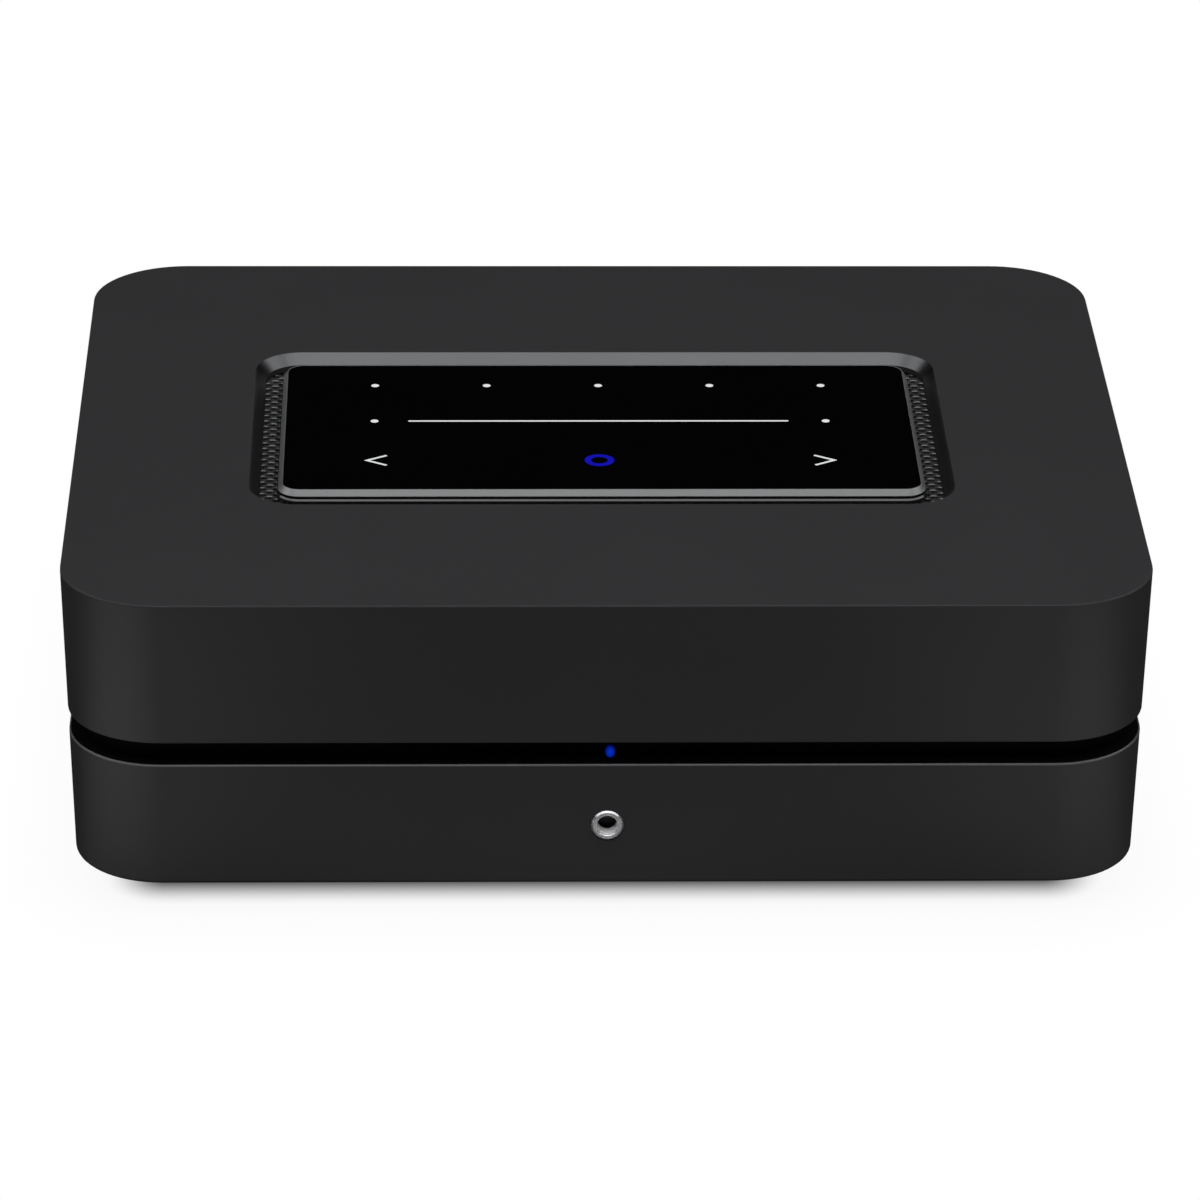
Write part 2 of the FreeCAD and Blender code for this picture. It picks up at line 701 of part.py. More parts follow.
def panel_bezel():
    """The metal frame: a chamfer round the glass over a shadow groove."""
    foot_z = Z_TOP - BEZEL_DROP
    sizes = []
    for out, z in ((BEZEL_OUT, foot_z), (BEZEL_LAND, Z_TOP)):
        sizes.append((GLASS_W + 2 * out, GLASS_D + 2 * out, GLASS_R + out, z))
    frame = joined([tapered(*sizes, PANEL_Y), panel_outline(BEZEL_LAND, Z_CARRIER_TOP, foot_z)])
    frame = frame.cut(panel_outline(FIT, Z_SEAT, Z_TOP + 1))
    return frame.cut(panel_outline(-BEZEL_LEDGE, Z_CARRIER_TOP - 1, Z_TOP))


def legend_shapes(z0, z1):
    """The white legends: dots in two rows, a line and two arrows."""
    shapes = []
    for i in range(-2, 3):
        shapes.append(rod_z(i * DOT_PITCH, PANEL_Y + DOT_ROW_Y, DOT_R, z0, z1))
    for i in (-2, 2):
        shapes.append(rod_z(i * DOT_PITCH, PANEL_Y + LINE_ROW_Y, DOT_R, z0, z1))
    shapes.append(prism(LINE_W, LINE_T, LINE_T / 2, z0, z1, 0.0, PANEL_Y + LINE_ROW_Y))
    for side in (-1, 1):
        shapes.append(arrow(side, z0, z1))
    return shapes


def arrow(side, z0, z1):
    """An open arrowhead that points outwards, as a bent stroke."""
    y = PANEL_Y + KEY_ROW_Y
    tip = side * ARROW_X
    back = side * (ARROW_X - ARROW_W)
    run = math.hypot(ARROW_W, ARROW_H / 2)
    shift = side * ARROW_STROKE * run / (ARROW_H / 2)
    half = ARROW_H / 2
    points = [
        V(tip, y, z0), V(back, y + half, z0), V(back - shift, y + half, z0),
        V(tip - shift, y, z0), V(back - shift, y - half, z0), V(back, y - half, z0),
        V(tip, y, z0),
    ]
    return Part.Face(Part.makePolygon(points)).extrude(V(0, 0, z1 - z0))


def play_ring(z0, z1):
    """The ring in the middle of the key row."""
    y = PANEL_Y + KEY_ROW_Y
    return rod_z(0.0, y, RING_R, z0, z1).cut(rod_z(0.0, y, RING_HOLE_R, z0 - 1, z1 + 1))


def panel_glass():
    """The touch glass, with shallow pockets for the legends."""
    glass = panel_outline(0.0, Z_SEAT, Z_TOP)
    pockets = legend_shapes(Z_TOP - LEGEND_T, Z_TOP + 1)
    pockets.append(play_ring(Z_TOP - LEGEND_T, Z_TOP + 1))
    for pocket in pockets:
        glass = glass.cut(pocket)
    return glass


def touch_screw_places():
    """Where the touch board is screwed to the carrier."""
    x = TOUCH_BOARD_W / 2 - 2.5
    y = TOUCH_BOARD_D / 2 - 2.5
    return [(sx * x, PANEL_Y + sy * y) for sx in (-1, 1) for sy in (-1, 1)]


def light_guide():
    return prism(GUIDE_W, GUIDE_D, GUIDE_R, Z_CEILING, Z_SEAT, 0.0, PANEL_Y)


def touch_board():
    """The touch board, with its ribbon connector underneath."""
    z = Z_CEILING - BOARD_T
    board = prism(TOUCH_BOARD_W, TOUCH_BOARD_D, 2.0, z, Z_CEILING, 0.0, PANEL_Y)
    connector = centred_box(RIBBON_X, RIBBON_TOP_Y, RIBBON_PLUG, z - RIBBON_PLUG[2])
    board = joined([board, connector])
    for x, y in touch_screw_places():
        board = board.cut(rod_z(x, y, SMALL_SCREW_R + 0.1, z - 1, Z_CEILING + 1))
    return board


def panel_screws():
    """Small screws up through the touch board and the grille."""
    shapes = []
    for x, y in touch_screw_places():
        length = BOARD_T + Z_CARRIER_TOP - Z_CEILING - 0.5
        shapes.append(screw_up(x, y, Z_CEILING - BOARD_T, length, *SMALL_SCREW))
    for x, y in grille_screw_places():
        shapes.append(screw_up(x, y, Z_CEILING - GRILLE_T, GRILLE_T + 2.2, *SMALL_SCREW))
    return shapes


def panel_ribbon():
    """The flat cable from the touch board down to the main board."""
    y0, y1 = RIBBON_TOP_Y, RIBBON_FOOT_Y
    z0, z1 = Z_CEILING - BOARD_T - RIBBON_PLUG[2], Z_MAIN_TOP + RIBBON_PLUG[2]
    mid = (z0 + z1) / 2
    centre = [(y0, z0), (y0, z0 - RIBBON_STUB), (y0 - RIBBON_BOW, mid), (y1, z1 + RIBBON_STUB), (y1, z1)]
    spline = Part.BSplineCurve()
    spline.buildFromPoles([V(0, y, z) for y, z in centre])
    across = V(0, RIBBON_T / 2, 0)
    front, back = spline.toShape(), spline.toShape()
    front.translate(-across)
    back.translate(across)
    caps = []
    for z, y in ((z0, y0), (z1, y1)):
        caps.append(Part.makeLine(V(0, y, z) - across, V(0, y, z) + across))
    wire = Part.Wire(Part.__sortEdges__([front, back] + caps))
    ribbon = Part.Face(wire).extrude(V(RIBBON_W, 0, 0))
    ribbon.translate(V(RIBBON_X - RIBBON_W / 2, 0, 0))
    return ribbon


# Base

def plate_screw_places():
    """Where the base plate is screwed up into the lower shell."""
    x = PLATE_W / 2 - PLATE_LEDGE
    y = PLATE_D / 2 - PLATE_LEDGE
    places = [(sx * x, CASE_Y + sy * y) for sx in (-1, 1) for sy in (-1, 1)]
    places += [(0.0, CASE_Y + sy * y) for sy in (-1, 1)]
    return places + [(sx * x, CASE_Y) for sx in (-1, 1)]


def foot_places():
    x = PLATE_W / 2 - FOOT_INSET_X
    y = PLATE_D / 2 - FOOT_INSET_Y
    return [(sx * x, CASE_Y + sy * y) for sx in (-1, 1) for sy in (-1, 1)]


def base_plate():
    """The steel floor, with two rows of air slots."""
    plate = prism(PLATE_W, PLATE_D, PLATE_R, Z_BASE, Z_PLATE)
    cuts = []
    for row_y in (CASE_Y - SLOT_ROW_Y, CASE_Y + SLOT_ROW_Y):
        for side in (-1, 1):
            for i in range(SLOT_COUNT):
                x = side * (SLOT_START_X + i * SLOT_STEP)
                cuts.append(prism(SLOT_W, SLOT_L, SLOT_W / 2 - 0.01, Z_BASE - 1, Z_PLATE + 1, x, row_y))
    for x, y in plate_screw_places():
        cuts.append(rod_z(x, y, SMALL_SCREW_R + 0.1, Z_BASE - 1, Z_PLATE + 1))
        cuts.append(rod_z(x, y, SMALL_HEAD_R + 0.1, Z_BASE - 1, Z_BASE + SMALL_HEAD_T))
    for x, y in foot_places():
        cuts.append(rod_z(x, y, FOOT_STEM_R + FIT, Z_BASE - 1, Z_PLATE + 1))
    for x, y in lower_spacer_places():
        cuts.append(rod_z(x, y, SCREW_HOLE_R, Z_BASE - 1, Z_PLATE + 1))
        cuts.append(rod_z(x, y, SCREW_HEAD_R + HEAD_FIT, Z_BASE - 1, Z_BASE + LOW_HEAD_T))
    return plate.cut(Part.makeCompound(cuts))


def base_screws():
    shapes = []
    for x, y in plate_screw_places():
        seat = Z_BASE + SMALL_HEAD_T
        length = PLATE_T - SMALL_HEAD_T + 1.4
        shapes.append(screw_up(x, y, seat, length, *SMALL_SCREW))
    return shapes


def rubber_feet():
    """Four turned feet, each with a stem pushed into the plate."""
    shapes = []
    for x, y in foot_places():
        skirt = Part.makeCone(FOOT_R - FOOT_TAPER, FOOT_R, FOOT_H, V(x, y, 0), V(0, 0, 1))
        skirt = skirt.makeFillet(FOOT_ROUND, edges_at(skirt, 0.0))
        hollow = rod_z(x, y, FOOT_R * 0.35, -1, FOOT_HOLLOW_D)
        stem = rod_z(x, y, FOOT_STEM_R, FOOT_H, Z_PLATE + 1.0)
        shapes.append(joined([skirt, stem]).cut(hollow))
    return shapes


def case_screws():
    """Four long screws that clamp the shells together round the band."""
    shapes = []
    for x, y in BOSS_PLACES:
        length = Z_BOSS_JOINT + CASE_SCREW_REACH - CASE_SCREW_SEAT
        shapes.append(screw_up(x, y, CASE_SCREW_SEAT, length))
    return shapes


# Rear panel

def fold_screw_places():
    """Where the foot of the rear panel is screwed to the floor."""
    x = WINDOW_HALF - FOLD_SCREW_MARGIN
    y = REAR_INNER - FOLD_D * 0.6
    return [(-x, y), (0.0, y), (x, y)]


def rear_panel():
    """The sheet steel back, with a foot folded forward onto the floor."""
    half = WINDOW_HALF + PANEL_LAP
    top = Z_WINDOW_TOP + PANEL_LAP
    plate = box(-half, half, REAR_INNER, REAR_FACE, Z_FLOOR, top)
    fold = box(-half, half, REAR_INNER - FOLD_D, REAR_INNER, Z_FLOOR, Z_FLOOR + REAR_T)
    panel = joined([plate, fold])
    y0, y1 = REAR_INNER - 1, REAR_FACE + 1
    c = CUTOUT_FIT
    cuts = [
        block_y(SOCKET_XS[0], Z_MAIN_TOP + LAN_H / 2, LAN_W + 2 * c, LAN_H + 2 * c, y0, y1),
        socket_cut(SOCKET_XS[1], USB_W, USB_H, y0, y1),
        socket_cut(SOCKET_XS[2], HDMI_W, HDMI_H, y0, y1),
        rod_y(SOCKET_XS[3], JACK_Z, JACK_NOSE_R + c, y0, y1),
        rod_y(SOCKET_XS[4], PHONO_Z, PHONO_ROOT_R + c, y0, y1),
        rod_y(SOCKET_XS[5], JACK_Z, JACK_NOSE_R + c, y0, y1),
        block_y(INLET_X, INLET_Z, INLET_W + 2 * c, INLET_H + 2 * c, y0, y1),
    ]
    for x in POST_XS:
        cuts.append(rod_y(x, POST_Z, POST_HOLE_R + FIT, y0, y1))
    for x, y in fold_screw_places():
        cuts.append(rod_z(x, y, SMALL_SCREW_R + 0.1, Z_FLOOR - 1, Z_FLOOR + REAR_T + 1))
    for cut in cuts:
        panel = panel.cut(cut)
    return panel


def socket_cut(x, width, height, y0, y1):
    """The hole round a sheet metal socket."""
    grow = 2 * CUTOUT_FIT
    return block_y(x, Z_MAIN_TOP + SOCKET_LIFT + height / 2, width + grow, height + grow, y0, y1)


def rear_panel_screws():
    shapes = []
    for x, y in fold_screw_places():
        seat = Z_FLOOR + REAR_T
        shapes.append(screw_down(x, y, seat, FOLD_SCREW_L, *SMALL_SCREW))
    return shapes


# Sockets in the back

def inlet_pin_xs():
    return [INLET_X + sx * INLET_PIN_GAP / 2 for sx in (-1, 1)]


def mains_inlet():
    """A two pin mains inlet with its double round recess."""
    x, z = INLET_X, INLET_Z
    body = block_y(x, z, INLET_W, INLET_H, REAR_FACE - INLET_L, REAR_FACE)
    end = REAR_FACE + INLET_FLANGE_T
    flange = block_y(x, z, INLET_FLANGE_W, INLET_FLANGE_H, REAR_FACE, end)
    upright = [e for e in flange.Edges if abs(e.tangentAt(e.FirstParameter).y) > 0.99]
    flange = flange.makeFillet(INLET_CORNER_R, upright)
    body = joined([body, flange])
    y0 = end - INLET_DEPTH
    recess = [block_y(x, z, INLET_PIN_GAP, 2 * (INLET_LOBE_R - INLET_WEB), y0, end + 1)]
    for pin_x in inlet_pin_xs():
        recess.append(rod_y(pin_x, z, INLET_LOBE_R, y0, end + 1))
    body = body.cut(joined(recess))
    for pin_x in inlet_pin_xs():
        body = body.cut(rod_y(pin_x, z, INLET_PIN_R + FIT, REAR_FACE - INLET_L - 1, end))
    return body


def mains_pins():
    """Two pins, each with a leg down to the power board."""
    shapes = []
    end = REAR_FACE + INLET_FLANGE_T - INLET_PIN_SHORT
    leg_y = REAR_FACE - INLET_L - PIN_LEG_SETBACK
    for x in inlet_pin_xs():
        pin = rod_y(x, INLET_Z, INLET_PIN_R, leg_y, end)
        tip = [e for e in pin.Edges if e.BoundBox.YMin > end - 1e-6]
        pin = pin.makeFillet(INLET_PIN_R * 0.6, tip)
        leg = rod_z(x, leg_y + INLET_PIN_R, INLET_PIN_R * 0.8, Z_BOARD_TOP, INLET_Z)
        shapes.append(joined([pin, leg]))
    return shapes


def post_bases():
    """Insulating collars that centre the studs in the panel."""
    shapes = []
    for x in POST_XS:
        collar = rod_y(x, POST_Z, BASE_COLLAR_R, REAR_FACE, COLLAR_END)
        shoulder = rod_y(x, POST_Z, POST_HOLE_R, REAR_INNER - SHOULDER_PROUD, REAR_FACE)
        bore = rod_y(x, POST_Z, STUD_R + FIT, REAR_INNER - 1, COLLAR_END + 1)
        shapes.append(joined([collar, shoulder]).cut(bore))
    return shapes


def post_studs():
    """Hollow studs that take a plug, with a cross hole for bare wire and a flat leg to the board."""
    shapes = []
    start = REAR_INNER - STUD_TAIL_L
    for x in POST_XS:
        stud = rod_y(x, POST_Z, STUD_R, start, STUD_END)
        leg = box(x - TAIL_W / 2, x + TAIL_W / 2, start, start + TAIL_T, Z_BOARD_TOP, POST_Z)
        stud = joined([stud, leg])
        stud = stud.cut(rod_y(x, POST_Z, STUD_BORE_R, STUD_END - STUD_BORE_L, STUD_END + 1))
        hole_y = CAP_START + WIRE_HOLE_R + 0.4
        shapes.append(stud.cut(rod_z(x, hole_y, WIRE_HOLE_R, POST_Z - 10, POST_Z + 10)))
    return shapes


def post_nuts():
    shapes = []
    for x in POST_XS:
        end = REAR_INNER - SHOULDER_PROUD
        nut = hexagon_y(x, POST_Z, NUT_R, end - NUT_T, end)
        shapes.append(nut.cut(rod_y(x, POST_Z, STUD_R + FIT, end - NUT_T - 1, end + 1)))
    return shapes


def speaker_cap(x):
    """A fluted cap that unscrews along the stud, open at its end for a plug."""
    cap = rod_y(x, POST_Z, CAP_R, CAP_START, POST_END)
    ends = [e for e in cap.Edges if e.BoundBox.YLength < 1e-6]
    cap = cap.makeFillet(CAP_ROUND, ends)
    reach = CAP_R + FLUTE_R * 0.35
    for i in range(CAP_FLUTES):
        a = 2 * math.pi * i / CAP_FLUTES
        fx, fz = x + reach * math.cos(a), POST_Z + reach * math.sin(a)
        cap = cap.cut(rod_y(fx, fz, FLUTE_R, CAP_START + FLUTE_START, POST_END - FLUTE_END))
    cap = cap.cut(rod_y(x, POST_Z, STUD_R + RUN_FIT, CAP_START - 1, POST_END - CAP_END_T))
    return cap.cut(rod_y(x, POST_Z, CAP_MOUTH_R, CAP_START, POST_END + 1))


def clamp_washer(x):
    """The ring under a cap that presses on the wire and slides without turning."""
    ring = rod_y(x, POST_Z, WASHER_R, WASHER_START, WASHER_START + WASHER_T)
    return ring.cut(rod_y(x, POST_Z, STUD_R + RUN_FIT, WASHER_START - 1, WASHER_START + WASHER_T + 1))


def lan_socket():
    """The shielded network socket, with a latch slot over its hole."""
    x = SOCKET_XS[0]
    body = block_y(x, Z_MAIN_TOP + LAN_H / 2, LAN_W, LAN_H, SOCKET_END - LAN_L, SOCKET_END)
    z0 = Z_MAIN_TOP + LAN_SILL
    y0 = SOCKET_END - LAN_HOLE_L
    hole = block_y(x, z0 + LAN_HOLE_H / 2, LAN_HOLE_W, LAN_HOLE_H, y0, SOCKET_END + 1)
    latch_z = z0 + LAN_HOLE_H + LATCH_H / 2
    latch = block_y(x, latch_z, LATCH_W, LATCH_H, y0 + LATCH_SETBACK, SOCKET_END + 1)
    return body.cut(joined([hole, latch]))


def sheet_socket(x, width, height, length):
    """A sheet metal socket shell on the main board, closed at its back."""
    z = Z_MAIN_TOP + SOCKET_LIFT + height / 2
    start = SOCKET_END - length
    parts = [block_y(x, z, width, height, start, SOCKET_END)]
    for sx in (-1, 1):
        leg_x = x + sx * (width / 2 - SHEET_T)
        leg_z = Z_MAIN_TOP + SOCKET_LIFT / 2
        parts.append(block_y(leg_x, leg_z, 2 * SHEET_T, SOCKET_LIFT, start, start + SHELL_LEG_L))
    grow = 2 * SHEET_T
    return joined(parts).cut(block_y(x, z, width - grow, height - grow, start + SHEET_T, SOCKET_END + 1))


def socket_tongues():
    """The contact tongues in the two sheet metal sockets."""
    shapes = []
    rows = [
        (SOCKET_XS[1], USB_W, USB_H, USB_L, USB_TONGUE_RISE),
        (SOCKET_XS[2], HDMI_W, HDMI_H, HDMI_L, 0.0),
    ]
    for x, width, height, length, rise in rows:
        z = Z_MAIN_TOP + SOCKET_LIFT + height / 2 + rise
        back = SOCKET_END - length + SHEET_T
        tongue_w = width - 2 * (SHEET_T + TONGUE_SIDE)
        shapes.append(block_y(x, z, tongue_w, TONGUE_T, back, SOCKET_END - TONGUE_SETBACK))
    return shapes


def mini_jack(x, z, face_y, end_y, outward):
    """A block with a round nose and a blind bore. outward is 1 to the back, -1 to the front."""
    y0, y1 = sorted((face_y, face_y - outward * JACK_L))
    block = block_y(x, z, JACK_W, JACK_H, y0, y1)
    n0, n1 = sorted((face_y, end_y))
    nose = rod_y(x, z, JACK_NOSE_R if outward > 0 else PHONES_TUBE_R - PHONES_TUBE_T, n0, n1)
    b0, b1 = sorted((end_y + outward, end_y - outward * JACK_BORE_L))
    return joined([block, nose]).cut(rod_y(x, z, JACK_BORE_R, b0, b1))


def subwoofer_socket():
    """The plated outer ring of the phono socket."""
    x = SOCKET_XS[4]
    root = rod_y(x, PHONO_Z, PHONO_ROOT_R, REAR_INNER - PHONO_ROOT_L, REAR_FACE)
    ring = joined([root, rod_y(x, PHONO_Z, PHONO_R, REAR_FACE, REAR_FACE + PHONO_L)])
    return ring.cut(rod_y(x, PHONO_Z, PHONO_CORE_R, REAR_INNER - 3, REAR_FACE + PHONO_L + 1))


def subwoofer_insulator():
    """The block and core that hold the phono ring."""
    x = SOCKET_XS[4]
    half = PHONO_BLOCK_W / 2
    top = PHONO_Z + half
    block = box(x - half, x + half, REAR_INNER - PHONO_BLOCK_D, REAR_INNER, Z_MAIN_TOP, top)
    block = block.cut(rod_y(x, PHONO_Z, PHONO_ROOT_R, REAR_INNER - PHONO_ROOT_L, REAR_INNER + 1))
    end = REAR_FACE + PHONO_L - PHONO_CORE_SETBACK
    core = rod_y(x, PHONO_Z, PHONO_CORE_R, REAR_INNER - PHONO_ROOT_L - 1.0, end)
    return joined([block, core]).cut(rod_y(x, PHONO_Z, PHONO_BORE_R, end - PHONO_BORE_L, end + 1))


# Headphone socket and front board

def headphone_jack():
    """The jack behind the front wall, with its metal nose in the trim ring."""
    return mini_jack(0.0, PHONES_Z, BOARD_PLANE - BOARD_T - JACK_L, PHONES_SEAT + PHONES_STEP_D, -1)


def headphone_ring():
    """The stepped bright ring round the headphone hole."""
    flange = rod_y(0.0, PHONES_Z, PHONES_RING_R, PHONES_SEAT - PHONES_RING_T, PHONES_SEAT)
    front = [e for e in flange.Edges if e.BoundBox.YLength < 1e-6 and e.BoundBox.YMax < PHONES_SEAT - 1e-3]
    flange = flange.makeFillet(PHONES_ROUND, front)
    tube = rod_y(0.0, PHONES_Z, PHONES_TUBE_R, PHONES_SEAT, FRONT_INNER)
    ring = joined([flange, tube])
    step = PHONES_SEAT + PHONES_STEP_D
    ring = ring.cut(rod_y(0.0, PHONES_Z, PHONES_STEP_R, PHONES_SEAT - 2, step))
    return ring.cut(rod_y(0.0, PHONES_Z, PHONES_TUBE_R - PHONES_TUBE_T + FIT, step, FRONT_INNER + 1))


def front_board_screw_xs():
    return [sx * (FRONT_BOARD_W - FRONT_POST_W) / 2 for sx in (-1, 1)]


def front_board_post(side):
    """A post on the floor that holds one end of the front board."""
    half = FRONT_POST_W / 2
    x = side * (FRONT_BOARD_W / 2 - half)
    return box(x - half, x + half, BOARD_PLANE, BOARD_PLANE + FRONT_POST_T, Z_FLOOR, FRONT_SCREW_Z + half)


def front_board():
    """The upright board behind the front, with the status light on it."""
    half = FRONT_BOARD_W / 2
    board = box(-half, half, BOARD_PLANE - BOARD_T, BOARD_PLANE, Z_FLOOR, Z_EAVE)
    lamp_z = (Z_RIM + Z_EAVE) / 2
    y0, y1 = BOARD_PLANE - BOARD_T - LED_T, BOARD_PLANE - BOARD_T
    lamp = block_y(LIGHT_X, lamp_z, LED_W, LED_H, y0, y1)
    board = joined([board, lamp])
    for x in front_board_screw_xs():
        board = board.cut(rod_y(x, FRONT_SCREW_Z, SCREW_HOLE_R, BOARD_PLANE - 3, BOARD_PLANE + 1))
    return board


# Boards and what is on them

def lower_spacer_places():
    """Corner places of the power board and the amplifier board."""
    inner = BOARD_GAP / 2 + HOLE_INSET
    xs = (-SPACER_X, -inner, inner, SPACER_X)
    ys = (CASE_Y - SPACER_Y, MAIN_FRONT + HOLE_INSET, CASE_Y + SPACER_Y)
    return [(x, y) for x in xs for y in ys]


def tall_spacer_places():
    """Corner places of the main board, over the outer spacers below."""
    ys = (MAIN_FRONT + HOLE_INSET, CASE_Y + SPACER_Y)
    return [(sx * SPACER_X, y) for sx in (-1, 1) for y in ys]


def board_spacers():
    """Hexagonal spacers: twelve short ones and four tall ones above them."""
    shapes = []
    for x, y in lower_spacer_places():
        spacer = hexagon_z(x, y, SPACER_R, Z_PLATE, Z_BOARD)
        shapes.append(spacer.cut(rod_z(x, y, SCREW_HOLE_R, Z_PLATE - 1, Z_BOARD + 1)))
    for x, y in tall_spacer_places():
        stud = rod_z(x, y, SCREW_R, Z_BOARD - TALL_STUD_L, Z_BOARD_TOP)
        spacer = joined([hexagon_z(x, y, SPACER_R, Z_BOARD_TOP, Z_MAIN), stud])
        shapes.append(spacer.cut(rod_z(x, y, SCREW_HOLE_R, Z_MAIN - 8, Z_MAIN + 1)))
    return shapes


def board_screws():
    """Screws of the boards, all of one size."""
    shapes = []
    tall = tall_spacer_places()
    for x, y in lower_spacer_places():
        if (x, y) not in tall:
            shapes.append(screw_down(x, y, Z_BOARD_TOP, BOARD_T + BOARD_SCREW_BITE))
        length = PLATE_T - LOW_HEAD_T + PLATE_SCREW_BITE
        shapes.append(screw_up(x, y, Z_BASE + LOW_HEAD_T, length, SCREW_R, SCREW_HEAD_R, LOW_HEAD_T))
    for x, y in tall:
        shapes.append(screw_down(x, y, Z_MAIN_TOP, BOARD_T + MAIN_SCREW_BITE))
    for x in front_board_screw_xs():
        screw = screw_down(0, 0, 0, BOARD_T + FRONT_SCREW_BITE)
        screw.rotate(V(0, 0, 0), V(1, 0, 0), 90)
        screw.translate(V(x, BOARD_PLANE - BOARD_T, FRONT_SCREW_Z))
        shapes.append(screw)
    return shapes


def drilled_board(x0, x1, y0, y1, z, places):
    """A board with screw holes at those of the places that lie on it."""
    board = box(x0, x1, y0, y1, z, z + BOARD_T)
    for x, y in places:
        if x0 < x < x1 and y0 < y < y1:
            board = board.cut(rod_z(x, y, SCREW_HOLE_R, z - 1, z + BOARD_T + 1))
    return board


def power_board():
    places = lower_spacer_places()
    return drilled_board(-BOARD_SIDE, -BOARD_GAP / 2, BOARD_FRONT, BOARD_REAR, Z_BOARD, places)


def amp_board():
    return drilled_board(BOARD_GAP / 2, BOARD_SIDE, BOARD_FRONT, BOARD_REAR, Z_BOARD, lower_spacer_places())


def main_board():
    board = drilled_board(-BOARD_SIDE, BOARD_SIDE, MAIN_FRONT, BOARD_REAR, Z_MAIN, tall_spacer_places())
    connector = centred_box(RIBBON_X, RIBBON_FOOT_Y, RIBBON_PLUG, Z_MAIN_TOP)
    return joined([board, connector])


def power_transformer():
    """A switching transformer: a winding block inside a flat core."""
    x, y = POWER_X, BOARD_FRONT + TRANSFORMER_SETBACK
    w, d, h = TRANSFORMER
    winding = centred_box(x, y, (w - 2 * CORE_OVERHANG, d, h - CORE_RISE), Z_BOARD_TOP)
    core = centred_box(x, y, (w, CORE_D, h), Z_BOARD_TOP)
    return joined([winding, core])


def bulk_capacitors():
    """Three upright electrolytic cans with a crimp groove."""
    shapes = []
    for i in (-1, 0, 1):
        x, y = POWER_X + i * (2 * CAPACITOR_R + CAPACITOR_GAP), BOARD_FRONT + CAPACITOR_SETBACK
        can = rod_z(x, y, CAPACITOR_R, Z_BOARD_TOP, Z_BOARD_TOP + CAPACITOR_H)
        can = can.makeFillet(1.0, edges_at(can, Z_BOARD_TOP + CAPACITOR_H))
        z = Z_BOARD_TOP + CRIMP_RISE
        groove = rod_z(x, y, CAPACITOR_R + 1, z, z + CRIMP_W)
        shapes.append(can.cut(groove.cut(rod_z(x, y, CAPACITOR_R - CRIMP_D, z - 1, z + 3))))
    return shapes


def filter_choke():
    """Two wound toroids of the mains filter."""
    shapes = []
    for i in (-1, 1):
        x, y = POWER_X + i * (CHOKE_R + CHOKE_GAP / 2), BOARD_REAR - CHOKE_REAR
        ring = rod_z(x, y, CHOKE_R, Z_BOARD_TOP, Z_BOARD_TOP + CHOKE_H)
        ring = ring.cut(rod_z(x, y, CHOKE_HOLE_R, Z_BOARD_TOP - 1, Z_BOARD_TOP + CHOKE_H + 1))
        shapes.append(ring)
    return shapes


def chip_places():
    return [(AMP_X + sx * SINK_HALF_W / 2, SINK_Y + sy * CHIP_ROW_Y) for sx in (-1, 1) for sy in (-1, 1)]


def amp_chips():
    return [centred_box(x, y, CHIP, Z_BOARD_TOP) for x, y in chip_places()]


def amp_heatsink():
    """A finned aluminium block clamped on the output chips."""
    z = Z_BOARD_TOP + CHIP[2]
    base = centred_box(AMP_X, SINK_Y, (2 * SINK_HALF_W, SINK_D, SINK_BASE), z)
    parts = [base]
    for i in range(FIN_COUNT):
        x = AMP_X - SINK_HALF_W + FIN_T / 2 + i * (2 * SINK_HALF_W - FIN_T) / (FIN_COUNT - 1)
        parts.append(centred_box(x, SINK_Y, (FIN_T, SINK_D, SINK_H - SINK_BASE), z + SINK_BASE))
    return joined(parts)


def output_inductors():
    """Four moulded output inductors in a row in front of the posts."""
    shapes = []
    for i in range(4):
        x = AMP_X + (i - 1.5) * (INDUCTOR[0] + INDUCTOR_GAP)
        block = centred_box(x, BOARD_REAR - INDUCTOR_REAR, INDUCTOR, Z_BOARD_TOP)
        shapes.append(block.makeFillet(INDUCTOR_ROUND, edges_at(block, Z_BOARD_TOP + INDUCTOR[2])))
    return shapes


def shield_can():
    """The tinned lid over the processor."""
    can = centred_box(CAN_X, CAN_Y, CAN, Z_MAIN_TOP)
    w, d, h = CAN
    inside = centred_box(CAN_X, CAN_Y, (w - 2 * CAN_T, d - 2 * CAN_T, h), Z_MAIN_TOP - CAN_T)
    return can.cut(inside)


def wireless_module():
    return centred_box(RADIO_X, RADIO_Y, RADIO, Z_MAIN_TOP)


def antennas():
    """Two flat antennas stuck to the inner side walls."""
    shapes = []
    for side in (-1, 1):
        length, height, thick = ANTENNA
        x = side * (CASE_W / 2 - WALL - case_lean(ANTENNA_Z) - thick / 2 - ANTENNA_GAP)
        lean = math.degrees(math.atan(DRAFT))
        plate = block_y(x, ANTENNA_Z, thick, height, ANTENNA_Y - length / 2, ANTENNA_Y + length / 2)
        plate.rotate(V(x, ANTENNA_Y, ANTENNA_Z), V(0, 1, 0), side * lean)
        shapes.append(plate)
    return shapes


